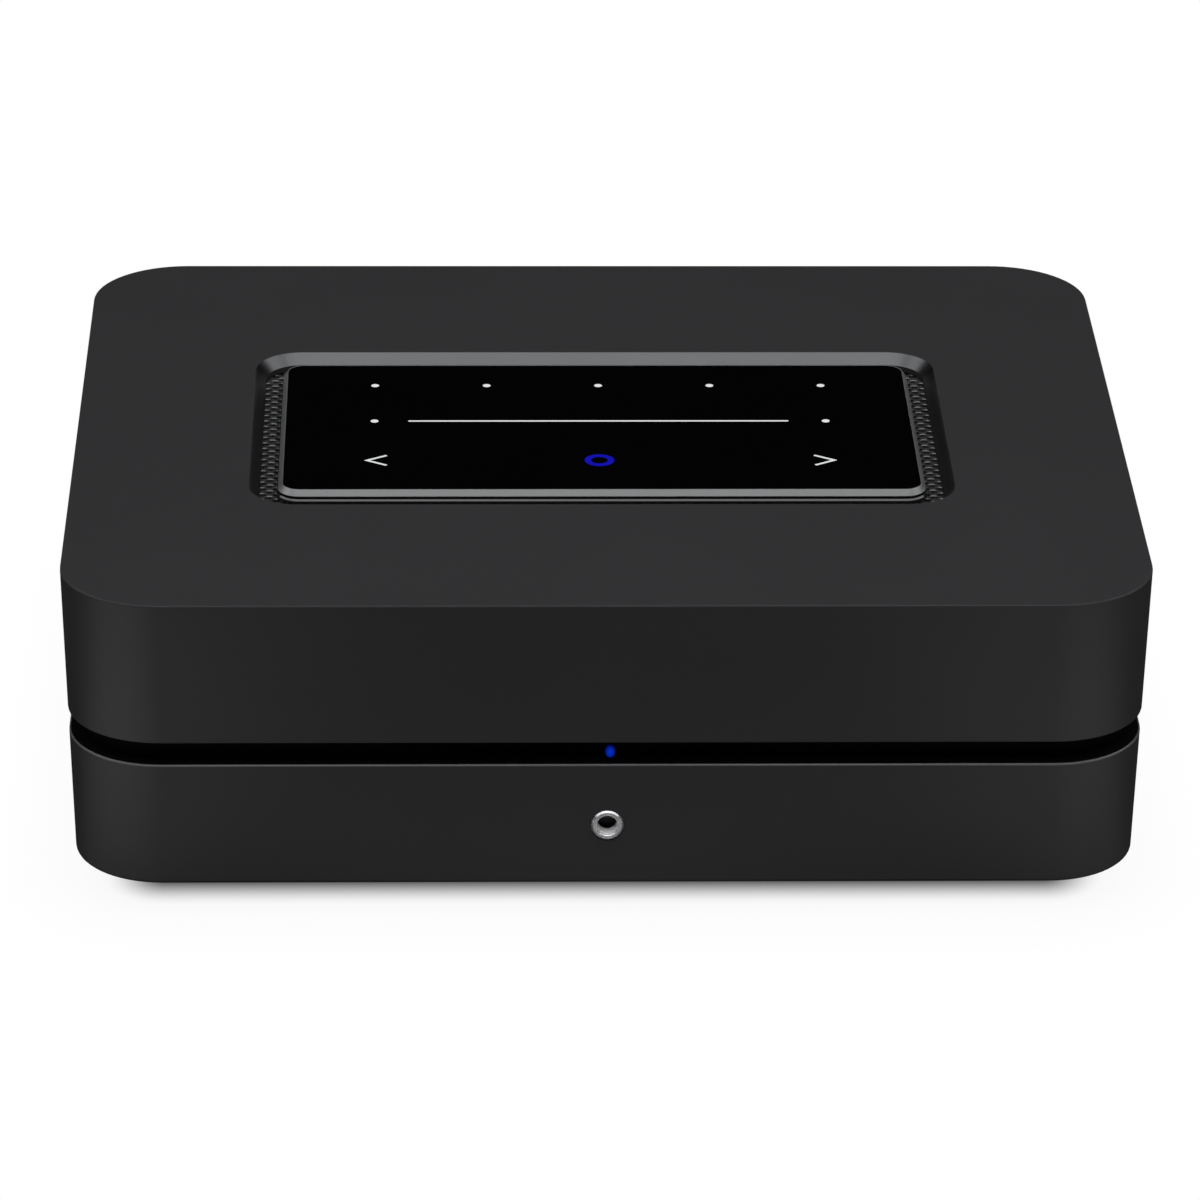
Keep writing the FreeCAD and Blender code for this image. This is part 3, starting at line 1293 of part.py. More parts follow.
def internal_leads():
    """Supply leads between the boards, the headphone lead and the two antenna leads."""
    y = BOARD_FRONT + 40.0
    x = BOARD_GAP / 2 + 5.0
    z = Z_BOARD_TOP
    top = z + SUPPLY_RISE
    supply = [(-x, y, z), (-x, y, top), (x, y, top), (x, y, z)]
    x = POWER_X + 18.0
    y = MAIN_FRONT - 9.0
    top = Z_MAIN_TOP + SUPPLY_RISE
    riser = [(x, y, z), (x, y, top), (x, y + 20, top), (x, y + 20, Z_MAIN_TOP)]
    y = MAIN_FRONT + 13.0
    phones = [
        (5.0, BOARD_PLANE, PHONES_Z + PHONES_LEAD_RISE),
        (5.0, BOARD_PLANE + 14, PHONES_Z + PHONES_LEAD_RISE),
        (3.0, MAIN_FRONT - 26, Z_MAIN_TOP + PHONES_LEAD_RISE),
        (3.0, y, Z_MAIN_TOP + PHONES_LEAD_RISE + 2), (3.0, y, Z_MAIN_TOP),
    ]
    shapes = [lead(supply), lead(riser), lead(phones)]
    wall_x = CASE_W / 2 - WALL - case_lean(ANTENNA_Z) - ANTENNA[2] - 0.9
    z = Z_MAIN_TOP + RADIO[2]
    top = z + ANTENNA_LEAD_RISE
    for side in (-1, 1):
        near = RADIO_X + side * 7.0
        route = [
            (near, RADIO_Y, z), (near, RADIO_Y, top), (near, RADIO_Y - 10, top),
            (side * 80, RADIO_Y - 10, top), (side * wall_x, ANTENNA_Y + 30, top),
            (side * wall_x, ANTENNA_Y + 8, ANTENNA_Z),
        ]
        shapes.append(lead(route, THIN_LEAD_R))
    return shapes


# Places that depend on the pieces above
PHONES_Z = Z_BASE + PHONES_RISE
FRONT_INNER = FRONT_EDGE + case_lean(PHONES_Z) + WALL
PHONES_SEAT = FRONT_EDGE + case_lean(PHONES_Z) + PHONES_SINK
BOARD_PLANE = FRONT_INNER + FRONT_BOARD_SETBACK
FRONT_SCREW_Z = Z_FLOOR + FRONT_SCREW_RISE
JACK_Z = Z_MAIN_TOP + JACK_H / 2
PHONO_Z = Z_MAIN_TOP + PHONO_RISE
POWER_X = -(BOARD_SIDE + BOARD_GAP / 2) / 2
AMP_X = -POWER_X
SINK_HALF_W = (BOARD_SIDE - BOARD_GAP / 2) / 2 - SINK_MARGIN
SINK_Y = (BOARD_FRONT + MAIN_FRONT) / 2 + SINK_SHIFT
CAN_X = -20.0
CAN_Y = MAIN_FRONT + 34.0
RADIO_X = 46.0
RADIO_Y = MAIN_FRONT + 26.0
RIBBON_X = -14.0
RIBBON_TOP_Y = PANEL_Y + 14.0
RIBBON_FOOT_Y = MAIN_FRONT + 10.0
ANTENNA_Y = CASE_Y - 34.0
ANTENNA_Z = Z_MAIN_TOP + 12.0


def all_nodes():
    """Every sub-part of the amplifier by name."""
    nodes = {
        "upper_shell": upper_shell(),
        "lower_shell": lower_shell(),
        "waist_band": waist_band(),
        "status_light_pipe": status_light_pipe(),
        "vent_grille": vent_grille(),
        "panel_carrier": panel_carrier(),
        "panel_bezel": panel_bezel(),
        "panel_glass": panel_glass(),
        "touch_legends": legend_shapes(Z_TOP - LEGEND_T, Z_TOP),
        "play_ring_legend": play_ring(Z_TOP - LEGEND_T, Z_TOP),
        "light_guide": light_guide(),
        "touch_board": touch_board(),
        "panel_screws": panel_screws(),
        "panel_ribbon": panel_ribbon(),
        "base_plate": base_plate(),
        "base_screws": base_screws(),
        "rubber_feet": rubber_feet(),
        "case_screws": case_screws(),
        "rear_panel": rear_panel(),
        "rear_panel_screws": rear_panel_screws(),
        "headphone_jack": headphone_jack(),
        "headphone_ring": headphone_ring(),
        "front_board": front_board(),
        "mains_inlet": mains_inlet(),
        "mains_pins": mains_pins(),
        "post_bases": post_bases(),
        "post_studs": post_studs(),
        "post_nuts": post_nuts(),
        "lan_socket": lan_socket(),
        "usb_socket": sheet_socket(SOCKET_XS[1], USB_W, USB_H, USB_L),
        "hdmi_socket": sheet_socket(SOCKET_XS[2], HDMI_W, HDMI_H, HDMI_L),
        "socket_tongues": socket_tongues(),
        "combo_input_socket": mini_jack(SOCKET_XS[3], JACK_Z, REAR_INNER, SOCKET_END, 1),
        "subwoofer_socket": subwoofer_socket(),
        "subwoofer_insulator": subwoofer_insulator(),
        "infrared_socket": mini_jack(SOCKET_XS[5], JACK_Z, REAR_INNER, SOCKET_END, 1),
        "power_board": power_board(),
        "power_transformer": power_transformer(),
        "bulk_capacitors": bulk_capacitors(),
        "filter_choke": filter_choke(),
        "amp_board": amp_board(),
        "amp_chips": amp_chips(),
        "amp_heatsink": amp_heatsink(),
        "output_inductors": output_inductors(),
        "main_board": main_board(),
        "shield_can": shield_can(),
        "wireless_module": wireless_module(),
        "antennas": antennas(),
        "board_spacers": board_spacers(),
        "board_screws": board_screws(),
        "internal_leads": internal_leads(),
    }
    for i, x in enumerate(POST_XS, 1):
        nodes["speaker_cap_%d" % i] = speaker_cap(x)
        nodes["clamp_washer_%d" % i] = clamp_washer(x)
    return nodes


def main():
    """Writes one STEP file for each node."""
    os.makedirs("parts", exist_ok=True)
    for name, shape in all_nodes().items():
        if isinstance(shape, list):
            shape = Part.makeCompound(shape)
        shape.exportStep(os.path.join("parts", name + ".step"))


main()
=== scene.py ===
"""The looks of a compact streaming amplifier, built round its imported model.

X is to the right, Y to the back and Z up, in metres. Every new surface is worked out
with numpy: most are a profile carried round a rounded rectangle or a circle.
"""
import json
import math

import bmesh
import bpy
import numpy as np
from mathutils import Matrix, Vector


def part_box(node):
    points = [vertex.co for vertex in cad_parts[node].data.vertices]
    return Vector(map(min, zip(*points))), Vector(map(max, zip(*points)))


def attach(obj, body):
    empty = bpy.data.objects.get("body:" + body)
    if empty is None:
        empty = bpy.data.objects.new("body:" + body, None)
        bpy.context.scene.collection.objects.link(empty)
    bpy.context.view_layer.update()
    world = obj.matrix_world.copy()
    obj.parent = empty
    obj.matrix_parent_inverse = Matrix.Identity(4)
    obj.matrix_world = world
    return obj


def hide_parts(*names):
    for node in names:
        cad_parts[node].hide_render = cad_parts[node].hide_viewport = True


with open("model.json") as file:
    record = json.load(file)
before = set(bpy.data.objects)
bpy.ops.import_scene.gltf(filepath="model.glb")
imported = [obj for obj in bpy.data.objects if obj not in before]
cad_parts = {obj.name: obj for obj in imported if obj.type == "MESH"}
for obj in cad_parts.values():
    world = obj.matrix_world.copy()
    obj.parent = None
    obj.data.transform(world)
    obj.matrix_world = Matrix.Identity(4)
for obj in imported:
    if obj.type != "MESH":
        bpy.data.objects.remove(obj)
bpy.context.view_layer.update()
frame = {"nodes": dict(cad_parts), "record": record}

bl_info = {
    "name": "Streaming amplifier",
    "version": (1, 0, 0),
    "blender": (4, 5, 0),
    "location": "3D View > Sidebar > Amplifier",
    "description": "Builds a compact streaming amplifier and its studio",
    "category": "Object",
}

MM = 0.001
NODES = frame["nodes"]
MAIN_BODY = "amplifier"
POSTS = range(1, 5)
RECORD_COLOURS = {row["slot"]: row["base_color"][:3] for row in frame["record"]["materials"]}
SLOT_OF = {row["node"]: row["material_slot"] for row in frame["record"]["subparts"]}

# Runs of faces along a quarter of a rounded corner, a circle, an easing and a vent cell.
ROUND_STEPS = 16
CIRCLE_STEPS = 64
EASE_STEPS = 5
CELL_STEPS = 12

SHARP_ANGLE = math.radians(32)
FLAT_ANGLE = math.radians(0.4)
MERGE_DISTANCE = 0.001 * MM

# How far in from its sides a cover's outline starts, and how far joined shapes overlap.
OUTLINE_REACH = 8 * MM
JOIN = 0.05 * MM

# A wave texture at scale 1 repeats each 0.314 units.
WAVE_LENGTH = 0.314

# Metres from the case to each lamp, and the height that the lamps face.
LAMP_DISTANCE = 1.5
AIM_HEIGHT = 0.04

# The strength of a glow that shows as white.
SEEN_WHITE = 1.0


def corners(node):
    """A CAD node's lowest and highest corners as arrays."""
    low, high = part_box(node)
    return np.array(low), np.array(high)


GLASS_LOW, GLASS_HIGH = corners("panel_glass")
CARRIER_LOW, CARRIER_HIGH = corners("panel_carrier")
PIPE_LOW, PIPE_HIGH = corners("status_light_pipe")
PLATE_LOW, PLATE_HIGH = corners("base_plate")
COVER_LOW, COVER_HIGH = corners("upper_shell")
REAR_LOW, REAR_HIGH = corners("rear_panel")
PANEL_Y = (GLASS_LOW[1] + GLASS_HIGH[1]) / 2
CASE_Y = (COVER_LOW[1] + COVER_HIGH[1]) / 2
Z_TOP = COVER_HIGH[2]
Z_RIM, Z_EAVE = PIPE_LOW[2], PIPE_HIGH[2]
Z_BASE = PLATE_LOW[2]


def length_setting(name, text, millimetres):
    """A length that the user can change, given in millimetres and kept in metres."""
    value = millimetres * MM
    return bpy.props.FloatProperty(
        name=name, description=text, default=value, min=0.0, unit="LENGTH", precision=5
    )


def colour_setting(name, text, colour):
    """A colour that the user can change, as linear red, green and blue."""
    return bpy.props.FloatVectorProperty(
        name=name, description=text, default=tuple(colour), size=3, min=0.0, max=1.0,
        subtype="COLOR",
    )


def plain_setting(name, text, value, low=0.0, high=1000.0):
    """A number without a unit that the user can change."""
    return bpy.props.FloatProperty(name=name, description=text, default=value, min=low, max=high)


def angle_setting(name, text, degrees):
    """An angle that the user can change, given in degrees."""
    return bpy.props.FloatProperty(
        name=name, description=text, default=math.radians(degrees), subtype="ANGLE"
    )


class CaseSettings(bpy.types.PropertyGroup):
    width: length_setting("Width", "Width over the top edge, before it is eased", 220.0)
    depth: length_setting("Depth", "Depth over the top edge, before it is eased", 185.5)
    corner: length_setting("Corner radius", "Radius of the four upright corners at the top", 20.2)
    lean: plain_setting("Lean", "How far the sides lean in for each unit of height", 0.0296)
    wall: length_setting("Wall", "Thickness of the sides", 2.6)
    ceiling: length_setting("Ceiling thickness", "Thickness of the top", 3.5)
    floor: length_setting("Floor thickness", "Thickness of the lower cover's floor", 4.0)
    flange: length_setting("Flange depth", "Depth of the flange along the waist", 6.0)
    flange_height: length_setting("Flange height", "Height of the flange along the waist", 3.0)
    top_ease: length_setting("Top easing", "Radius of the top edge", 0.4)
    eave_ease: length_setting("Eave easing", "Radius of the upper cover's lower edge", 0.35)
    rim_ease: length_setting("Rim easing", "Radius of the lower cover's upper edge", 0.35)
    base_ease: length_setting("Base easing", "Radius of the lower cover's lower edge", 1.0)
    edge_ease: length_setting("Cut edge easing", "Radius of the edges of the rear window", 0.25)
    boss: length_setting("Boss radius", "Radius of the four screw bosses", 4.0)
    boss_inset: length_setting("Boss inset", "How far the bosses stand in from the sides", 15.0)
    screw_recess: length_setting("Recess radius", "Radius of the hollows for the case screws", 2.95)
    screw_sink: length_setting("Recess depth", "Depth of the hollows for the case screws", 2.2)


class WaistSettings(bpy.types.PropertyGroup):
    recess: length_setting("Recess", "How far the waist stands in from the sides", 3.6)
    thickness: length_setting("Thickness", "Thickness of the waist's band", 2.4)
    rib: length_setting("Rib thickness", "Thickness of the rib behind the band", 1.2)
    rib_height: length_setting("Rib height", "How far the rib passes the band above and below", 3.4)
    light_width: length_setting("Light width", "Width of the lit lens", 2.1)
    light_height: length_setting("Light height", "Height of the lit lens", 2.7)
    light_stand: length_setting("Light stand", "How far the lens stands out from its pipe", 0.4)
    light_x: length_setting("Light place", "The lens's place to the right of the middle", 0.5)
    light_rise: length_setting("Light rise", "Height of the lens's middle above the rim", 1.3)


class WindowSettings(bpy.types.PropertyGroup):
    half_width: length_setting("Half width", "Half the width of the rear window", 84.0)
    bottom: length_setting("Bottom", "Height of the rear window's lower edge", 14.4)
    top: length_setting("Top", "Height of the rear window's upper edge", 62.0)
    corner: length_setting("Corner radius", "Radius of the rear window's corners", 3.0)
    lining: length_setting("Lining", "Thickness of the short tunnel behind the window", 2.0)


class PanelSettings(bpy.types.PropertyGroup):
    glass_corner: length_setting("Glass corner", "Radius of the touch glass's corners", 3.4)
    glass_drop: length_setting("Glass drop", "How far the glass lies below its frame", 0.03)
    well_margin_x: length_setting("Well margin X", "From the glass to the well's rim, across", 7.1)
    well_margin_y: length_setting("Well margin Y", "From the glass to the well's rim, along", 7.85)
    well_corner: length_setting("Well corner", "Radius of the well's rim at its corners", 10.0)
    well_slope: length_setting("Well slope", "How far the well's slope stands in", 2.25)
    well_lip: length_setting("Well lip", "Depth of the well's slope", 2.2)
    well_ease: length_setting("Well easing", "Radius of the well's rim", 0.3)
    frame_out: length_setting("Frame foot", "From the glass to the frame's outer edge", 1.15)
    frame_land: length_setting("Frame land", "Width of the frame's flat top", 0.2)
    frame_drop: length_setting("Frame chamfer", "Height of the frame's chamfer", 1.3)
    carrier_chamfer: length_setting("Carrier chamfer", "Chamfer of the carrier's top edge", 0.35)
    hole_step: length_setting("Hole step", "Step of the staggered vent holes", 1.5)
    hole_radius: length_setting("Hole radius", "Radius of the vent holes", 0.8)
    hole_ease: length_setting("Hole easing", "Easing of the vent holes' upper edges", 0.14)


class LegendSettings(bpy.types.PropertyGroup):
    dot: length_setting("Dot radius", "Radius of the legend dots", 0.84)
    dot_step: length_setting("Dot step", "Step between the legend dots", 23.9)
    dot_row: length_setting("Dot row", "Place of the dot row behind the panel's middle", 22.45)
    line_row: length_setting("Line row", "Place of the line behind the panel's middle", 2.75)
    line_length: length_setting("Line length", "Length of the legend line", 80.6)
    line_width: length_setting("Line width", "Width of the legend line", 0.6)
    key_row: length_setting("Key row", "Place of the arrows and ring before the middle", 18.5)
    arrow_tip: length_setting("Arrow tip", "Place of the arrow tips from the middle", 49.4)
    row_shift: length_setting("Row shift", "How far the dots stand to the right", 0.4)
    ring_shift: length_setting("Ring shift", "How far the ring stands to the left", 0.3)
    arrow_width: length_setting("Arrow width", "Width of an arrow", 4.5)
    arrow_height: length_setting("Arrow height", "Height of an arrow", 5.7)
    ring: length_setting("Ring radius", "Outer radius of the lit ring", 3.1)
    ring_hole: length_setting("Ring hole", "Inner radius of the lit ring", 1.75)
    depth: length_setting("Depth", "Thickness of the legends", 0.1)


class SocketSettings(bpy.types.PropertyGroup):
    phones_z: length_setting("Headphone height", "Height of the headphone socket's middle", 20.8)
    ring: length_setting("Headphone ring radius", "Outer radius of the headphone ring", 3.42)
    ring_stand: length_setting("Ring stand", "How far the headphone ring stands out", 0.2)
    bore: length_setting("Jack bore", "Radius of the 3.5 mm sockets' bores", 1.8)
    flutes: bpy.props.IntProperty(
        name="Flutes", description="Flutes on a speaker cap", default=12, min=3
    )
    flute: length_setting("Flute radius", "Radius of the flutes of a speaker cap", 0.9)
    stud: length_setting("Stud radius", "Radius of the speaker studs", 3.0)
    sheet: length_setting("Socket sheet", "Thickness of the sheet metal of the sockets", 0.5)


class FinishSettings(bpy.types.PropertyGroup):
    case: colour_setting("Case", "Satin paint of the two covers", (0.030, 0.030, 0.032))
    # The rim's lighter colour is a painted highlight along the lower cover's eased rim.
    edge: colour_setting("Eased edge", "Paint of the lower cover's rim", (0.075, 0.076, 0.078))
    well_edge: colour_setting("Well edge", "Polished slope of the well", (0.070, 0.071, 0.073))
    frame: colour_setting("Panel frame", "Anodised frame of the touch panel", (0.195, 0.198, 0.201))
    glass: colour_setting("Glass", "Black behind the touch glass", (0.001, 0.001, 0.001))
    legend: colour_setting("Legend", "White lit legends", (0.93, 0.94, 0.95))
    blue: colour_setting("Blue light", "Blue lit ring", (0.002, 0.001, 0.40))
    status: colour_setting("Status light", "Blue status light in the waist", (0.0, 0.026, 0.46))
    legend_glow: plain_setting("Legend glow", "Strength of the white legends", 0.80)
    blue_glow: plain_setting("Blue glow", "Strength of the blue lights", 1.0)


class StageSettings(bpy.types.PropertyGroup):
    yaw: angle_setting("Camera yaw", "How far the camera looks to the right", 1.6485)
    pitch: angle_setting("Camera pitch", "How far the camera looks down", 24.2724)
    roll: angle_setting("Camera roll", "How far the camera leans", 0.6082)
    place: bpy.props.FloatVectorProperty(
        name="Camera place", description="Where the camera stands", size=3, subtype="XYZ",
        unit="LENGTH", default=(-0.03547, -1.25806, 0.59593),
    )
    lens: plain_setting("Lens", "Focal length in millimetres for a 36 mm sensor", 193.1)
    front: plain_setting("Front lamp", "Power of the large lamp above the camera, in watts", 17.0)
    rear: plain_setting("Rear lamp", "Power of the large lamp above and behind, in watts", 4.2)
    flank: plain_setting("Side lamps", "Power of each side lamp, in watts", 9.9)
    sky: plain_setting("Sky", "Strength of the surroundings for diffuse light", 0.15)
    dim: plain_setting("Dim sky", "Strength of the surroundings in reflections from above", 0.003)
    shade_deep: length_setting("Shadow core", "Where the floor under the case is still dark", 18.3)
    shade_mid: length_setting("Shadow edge", "Where the floor under the case is nearly white", 5.0)
    shade_far: length_setting("Shadow end", "Where the floor beside the case is plain white", 24.0)
    shade_share: plain_setting("Shadow share", "Share of the shade beside the case", 0.06, 0.0, 1.0)
    paper: plain_setting("Paper", "Grey of the floor where it keeps the shadow", 0.9, 0.0, 1.0)
    bounce: plain_setting("Bounce", "Grey of the floor for the light it sends up", 0.28, 0.0, 1.0)
    near_grey: plain_setting("Near card", "Strength of the floor by the case in reflections", 0.02)
    left_card: plain_setting("Left card", "Strength of the card at the left front corner", 2.2)
    right_card: plain_setting("Right card", "Strength of the card at the right front corner", 1.7)
    front_card: plain_setting("Front card", "Strength of the card just before the case", 0.6)


# Surfaces

def eased(points, radii):
    """A path with its inner corners eased by arcs. An arc touches both runs at radius / tan(half
    the corner's angle) from the corner, and its points turn evenly about its centre. A radius of
    0 keeps the corner."""
    p = np.asarray(points, float)
    back, on = p[:-2] - p[1:-1], p[2:] - p[1:-1]
    back /= np.linalg.norm(back, axis=1, keepdims=True)
    on /= np.linalg.norm(on, axis=1, keepdims=True)
    r = np.broadcast_to(np.asarray(radii, float), len(back))[:, None]
    half = np.arccos(np.clip((back * on).sum(1, keepdims=True), -1, 1)) / 2
    bisector = (back + on) / np.linalg.norm(back + on, axis=1, keepdims=True)
    centre = p[1:-1] + bisector * r / np.sin(half)
    start = p[1:-1] + back * r / np.tan(half) - centre
    end = p[1:-1] + on * r / np.tan(half) - centre
    turn = np.pi - 2 * half
    t = np.linspace(0, 1, EASE_STEPS + 1)
    share_start = np.sin((1 - t) * turn) / np.sin(turn)
    share_end = np.sin(t * turn) / np.sin(turn)
    arcs = centre[:, None] + share_start[..., None] * start[:, None]
    arcs += share_end[..., None] * end[:, None]
    keep = (r > 0) | (np.arange(EASE_STEPS + 1) == 0)
    return np.vstack([p[:1], arcs[keep], p[-1:]])


def eased_loop(points, radii):
    """A closed outline with its corners eased in the same way."""
    p = np.asarray(points, float)
    return eased(np.vstack([p[-1:], p, p[:1]]), radii)[1:-1]


def on_axis(u, v, along, axis):
    """Points from two places across an axis and one along it."""
    w = np.broadcast_to(along, u.shape)
    return np.stack((u, v, w) if axis == "z" else (u, w, v), -1)


def carried(core, centre, profile, axis="z"):
    """A profile of (radius, along) points carried round a rounded rectangle. Each point becomes a
    ring: the four corners of a rectangle with half sides core, plus radius times (cos, sin) of an
    angle that turns by a quarter at each corner, at height along on the axis."""
    quarter = np.linspace(0, np.pi / 2, ROUND_STEPS + 1)
    angle = (np.arange(4)[:, None] * np.pi / 2 + quarter).ravel()
    side_u = np.repeat([1, -1, -1, 1], ROUND_STEPS + 1)
    side_v = np.repeat([1, 1, -1, -1], ROUND_STEPS + 1)
    radius, along = np.asarray(profile, float).T[:, :, None]
    u = centre[0] + core[0] * side_u + radius * np.cos(angle)
    v = centre[1] + core[1] * side_v + radius * np.sin(angle)
    return on_axis(u, v, along, axis)


def turned(profile, centre, axis="z", steps=CIRCLE_STEPS, depth=None, notch=None):
    """A profile of (radius, along) points turned round an axis through centre. Where depth and
    notch are given, each ring's radius is less by its depth times the notch at the angle."""
    angle = np.arange(steps) * 2 * np.pi / steps
    radius, along = np.asarray(profile, float).T[:, :, None]
    if depth is not None:
        radius = radius - np.asarray(depth)[:, None] * notch(angle)
    u = centre[0] + radius * np.cos(angle)
    v = centre[1] + radius * np.sin(angle)
    return on_axis(u, v, along, axis)


def skin(grid, loop=False, finish=0):
    """A closed surface over a grid of rings. Neighbouring rings are joined by quads. With loop the
    last ring joins the first, and otherwise both ends are closed by a flat face. finish is a
    material number, or one for each band between rings."""
    rows, columns = grid.shape[:2]
    bands = rows if loop else rows - 1
    i, j = np.meshgrid(np.arange(bands), np.arange(columns), indexing="ij")
    here, below = i * columns, (i + 1) % rows * columns
    beside = (j + 1) % columns
    quads = np.stack([here + j, here + beside, below + beside, below + j], -1)
    side_numbers = np.repeat(np.broadcast_to(finish, bands), columns)
    faces, numbers = [quads.reshape(-1, 4)], [side_numbers]
    if not loop:
        first = np.arange(columns)[::-1]
        last = (rows - 1) * columns + np.arange(columns)
        faces.append(np.stack([first, last]))
        numbers.append(side_numbers[[0, -1]])
    points = grid.reshape(-1, 3)
    if volume(points, faces) < 0:
        faces = [f[:, ::-1] for f in faces]
    return points, faces, numbers


def volume(points, faces):
    """Six times the volume inside closed faces: the sum of a . (b x c) over fans of triangles. It
    is below 0 where the faces point inwards."""
    total = 0.0
    for group in faces:
        first = points[group[:, 0]]
        for k in range(1, group.shape[1] - 1):
            total += (first * np.cross(points[group[:, k]], points[group[:, k + 1]])).sum()
    return total


def block(low, high, ease, finish=0):
    """A box between two corners whose upright edges and ends are eased."""
    low, high = np.asarray(low, float), np.asarray(high, float)
    half = (high - low)[:2] / 2
    r = min(ease, half.min() * 0.9, (high - low)[2] * 0.45)
    path = eased([(r / 2, low[2]), (r, low[2]), (r, high[2]), (r / 2, high[2])], r * 0.45)
    return skin(carried(half - r, (low + high)[:2] / 2, path), finish=finish)


def boss(radius, centre, start, end):
    """An upright round bar between two heights."""
    path = [(radius * 0.4, start), (radius, start), (radius, end), (radius * 0.4, end)]
    return skin(turned(path, centre))


def ring_bar(profile, centre, axis="y", ease=0.0, finish=0, **more):
    """A closed outline of (radius, along) turned into a ring."""
    return skin(turned(eased_loop(profile, ease), centre, axis, **more), loop=True, finish=finish)


def mesh_object(name, parts):
    """One mesh object from several closed surfaces."""
    points, faces, numbers, start = [], [], [], 0
    for part_points, part_faces, part_numbers in parts:
        points.append(part_points)
        for group, group_numbers in zip(part_faces, part_numbers):
            faces += (group + start).tolist()
            numbers.append(group_numbers)
        start += len(part_points)
    mesh = bpy.data.meshes.new(name)
    mesh.from_pydata(np.vstack(points), [], faces)
    numbers = np.concatenate(numbers).astype(np.int32)
    for _ in range(numbers.max() + 1):
        mesh.materials.append(None)
    mesh.polygons.foreach_set("material_index", numbers)
    mesh.update()
    obj = bpy.data.objects.new(name, mesh)
    bpy.context.scene.collection.objects.link(obj)
    return obj


def cut(obj, parts):
    """Takes closed surfaces out of a piece. The cut faces take their material numbers."""
    tool = mesh_object("cutter", parts)
    step = obj.modifiers.new("Cut", "BOOLEAN")
    step.operation = "DIFFERENCE"
    step.solver = "EXACT"
    step.use_self = True
    step.object = tool
    depsgraph = bpy.context.evaluated_depsgraph_get()
    mesh = bpy.data.meshes.new_from_object(obj.evaluated_get(depsgraph))
    obj.modifiers.clear()
    obj.data = mesh
    bpy.data.objects.remove(tool)


def finished(obj, materials, body=MAIN_BODY, stands_for=(), ease=0.0):
    """Gives a piece its materials, smooth shading, eased edges, its body and the nodes
    that it replaces."""
    numbers = np.zeros(len(obj.data.polygons), np.int32)
    obj.data.polygons.foreach_get("material_index", numbers)
    obj.data.materials.clear()
    for name in materials:
        obj.data.materials.append(bpy.data.materials[name])
    obj.data.polygons.foreach_set("material_index", np.minimum(numbers, len(materials) - 1))
    obj.data.shade_smooth()
    obj.data.set_sharp_from_angle(angle=SHARP_ANGLE)
    if ease:
        edge = obj.modifiers.new("Eased edges", "BEVEL")
        edge.width = ease
        edge.segments = 2
        edge.limit_method = "ANGLE"
        edge.angle_limit = SHARP_ANGLE
        edge.use_clamp_overlap = True
    shading = obj.modifiers.new("Shading", "WEIGHTED_NORMAL")
    shading.keep_sharp = True
    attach(obj, body)
    if stands_for:
        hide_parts(*stands_for)


def merged_copy(node, name, ease=0.0, finish=None):
    """A CAD node's mesh with its loose triangles merged into flat faces, so that its edges can be
    eased."""
    mesh = NODES[node].data.copy()
    work = bmesh.new()
    work.from_mesh(mesh)
    bmesh.ops.remove_doubles(work, verts=work.verts, dist=MERGE_DISTANCE)
    bmesh.ops.dissolve_limit(work, angle_limit=FLAT_ANGLE, verts=work.verts, edges=work.edges)
    work.to_mesh(mesh)
    work.free()
    obj = bpy.data.objects.new(name, mesh)
    bpy.context.scene.collection.objects.link(obj)
    slot = SLOT_OF[node]
    finished(obj, [finish or slot], stands_for=[node], ease=ease)


# Finishes

def new_material(name, colour, roughness, metallic=0.0, specular=0.5):
    """A material with one glossy shader. What is the same all over is set on its own sockets."""
    material = bpy.data.materials.new(name)
    material.use_nodes = True
    shader = material.node_tree.nodes["Principled BSDF"]
    shader.inputs["Base Color"].default_value = (*colour, 1.0)
    shader.inputs["Roughness"].default_value = roughness
    shader.inputs["Metallic"].default_value = metallic
    shader.inputs["Specular IOR Level"].default_value = specular
    return material, shader


def add_node(material, kind, inputs=None, **settings):
    """A node with its settings and its unlinked inputs. An input may be another node's output."""
    tree = material.node_tree
    node = tree.nodes.new(kind)
    for key, value in settings.items():
        setattr(node, key, value)
    for key, value in (inputs or {}).items():
        if isinstance(value, bpy.types.NodeSocket):
            tree.links.new(value, node.inputs[key])
        else:
            node.inputs[key].default_value = value
    return node


def link(material, output, shader, name):
    """Leads an output into one of the shader's sockets."""
    material.node_tree.links.new(output, shader.inputs[name])


def place_on_object(material, stretch=(1.0, 1.0, 1.0)):
    """Object coordinates, shortened along each axis by stretch."""
    coordinates = add_node(material, "ShaderNodeTexCoord")
    scale = [1 / s for s in stretch]
    mapping = add_node(
        material, "ShaderNodeMapping", {"Vector": coordinates.outputs["Object"], "Scale": scale}
    )
    return mapping.outputs["Vector"]


def lumps(material, size, detail, stretch=(1.0, 1.0, 1.0)):
    """A noise from 0 to 1 whose lumps are about size across, longer along an axis by stretch."""
    place = place_on_object(material, stretch)
    inputs = {"Vector": place, "Scale": 1 / size, "Detail": detail}
    return add_node(material, "ShaderNodeTexNoise", inputs).outputs["Fac"]


def stripes(material, pitch, direction, distortion):
    """A wave from 0 to 1 that repeats each pitch along an axis."""
    place = place_on_object(material)
    inputs = {"Vector": place, "Scale": WAVE_LENGTH / pitch, "Distortion": distortion}
    wave = add_node(material, "ShaderNodeTexWave", inputs, bands_direction=direction)
    return wave.outputs["Fac"]


def ramp(material, value, start, end, low, high, kind="LINEAR"):
    """A number that goes from low to high as the value goes from start to end."""
    inputs = {"Value": value, "From Min": start, "From Max": end, "To Min": low, "To Max": high}
    node = add_node(material, "ShaderNodeMapRange", inputs, interpolation_type=kind)
    return node.outputs["Result"]


def between(material, mask, low, high):
    """A number that goes from low to high over the middle of a noise's range."""
    return ramp(material, mask, 0.3, 0.7, low, high)


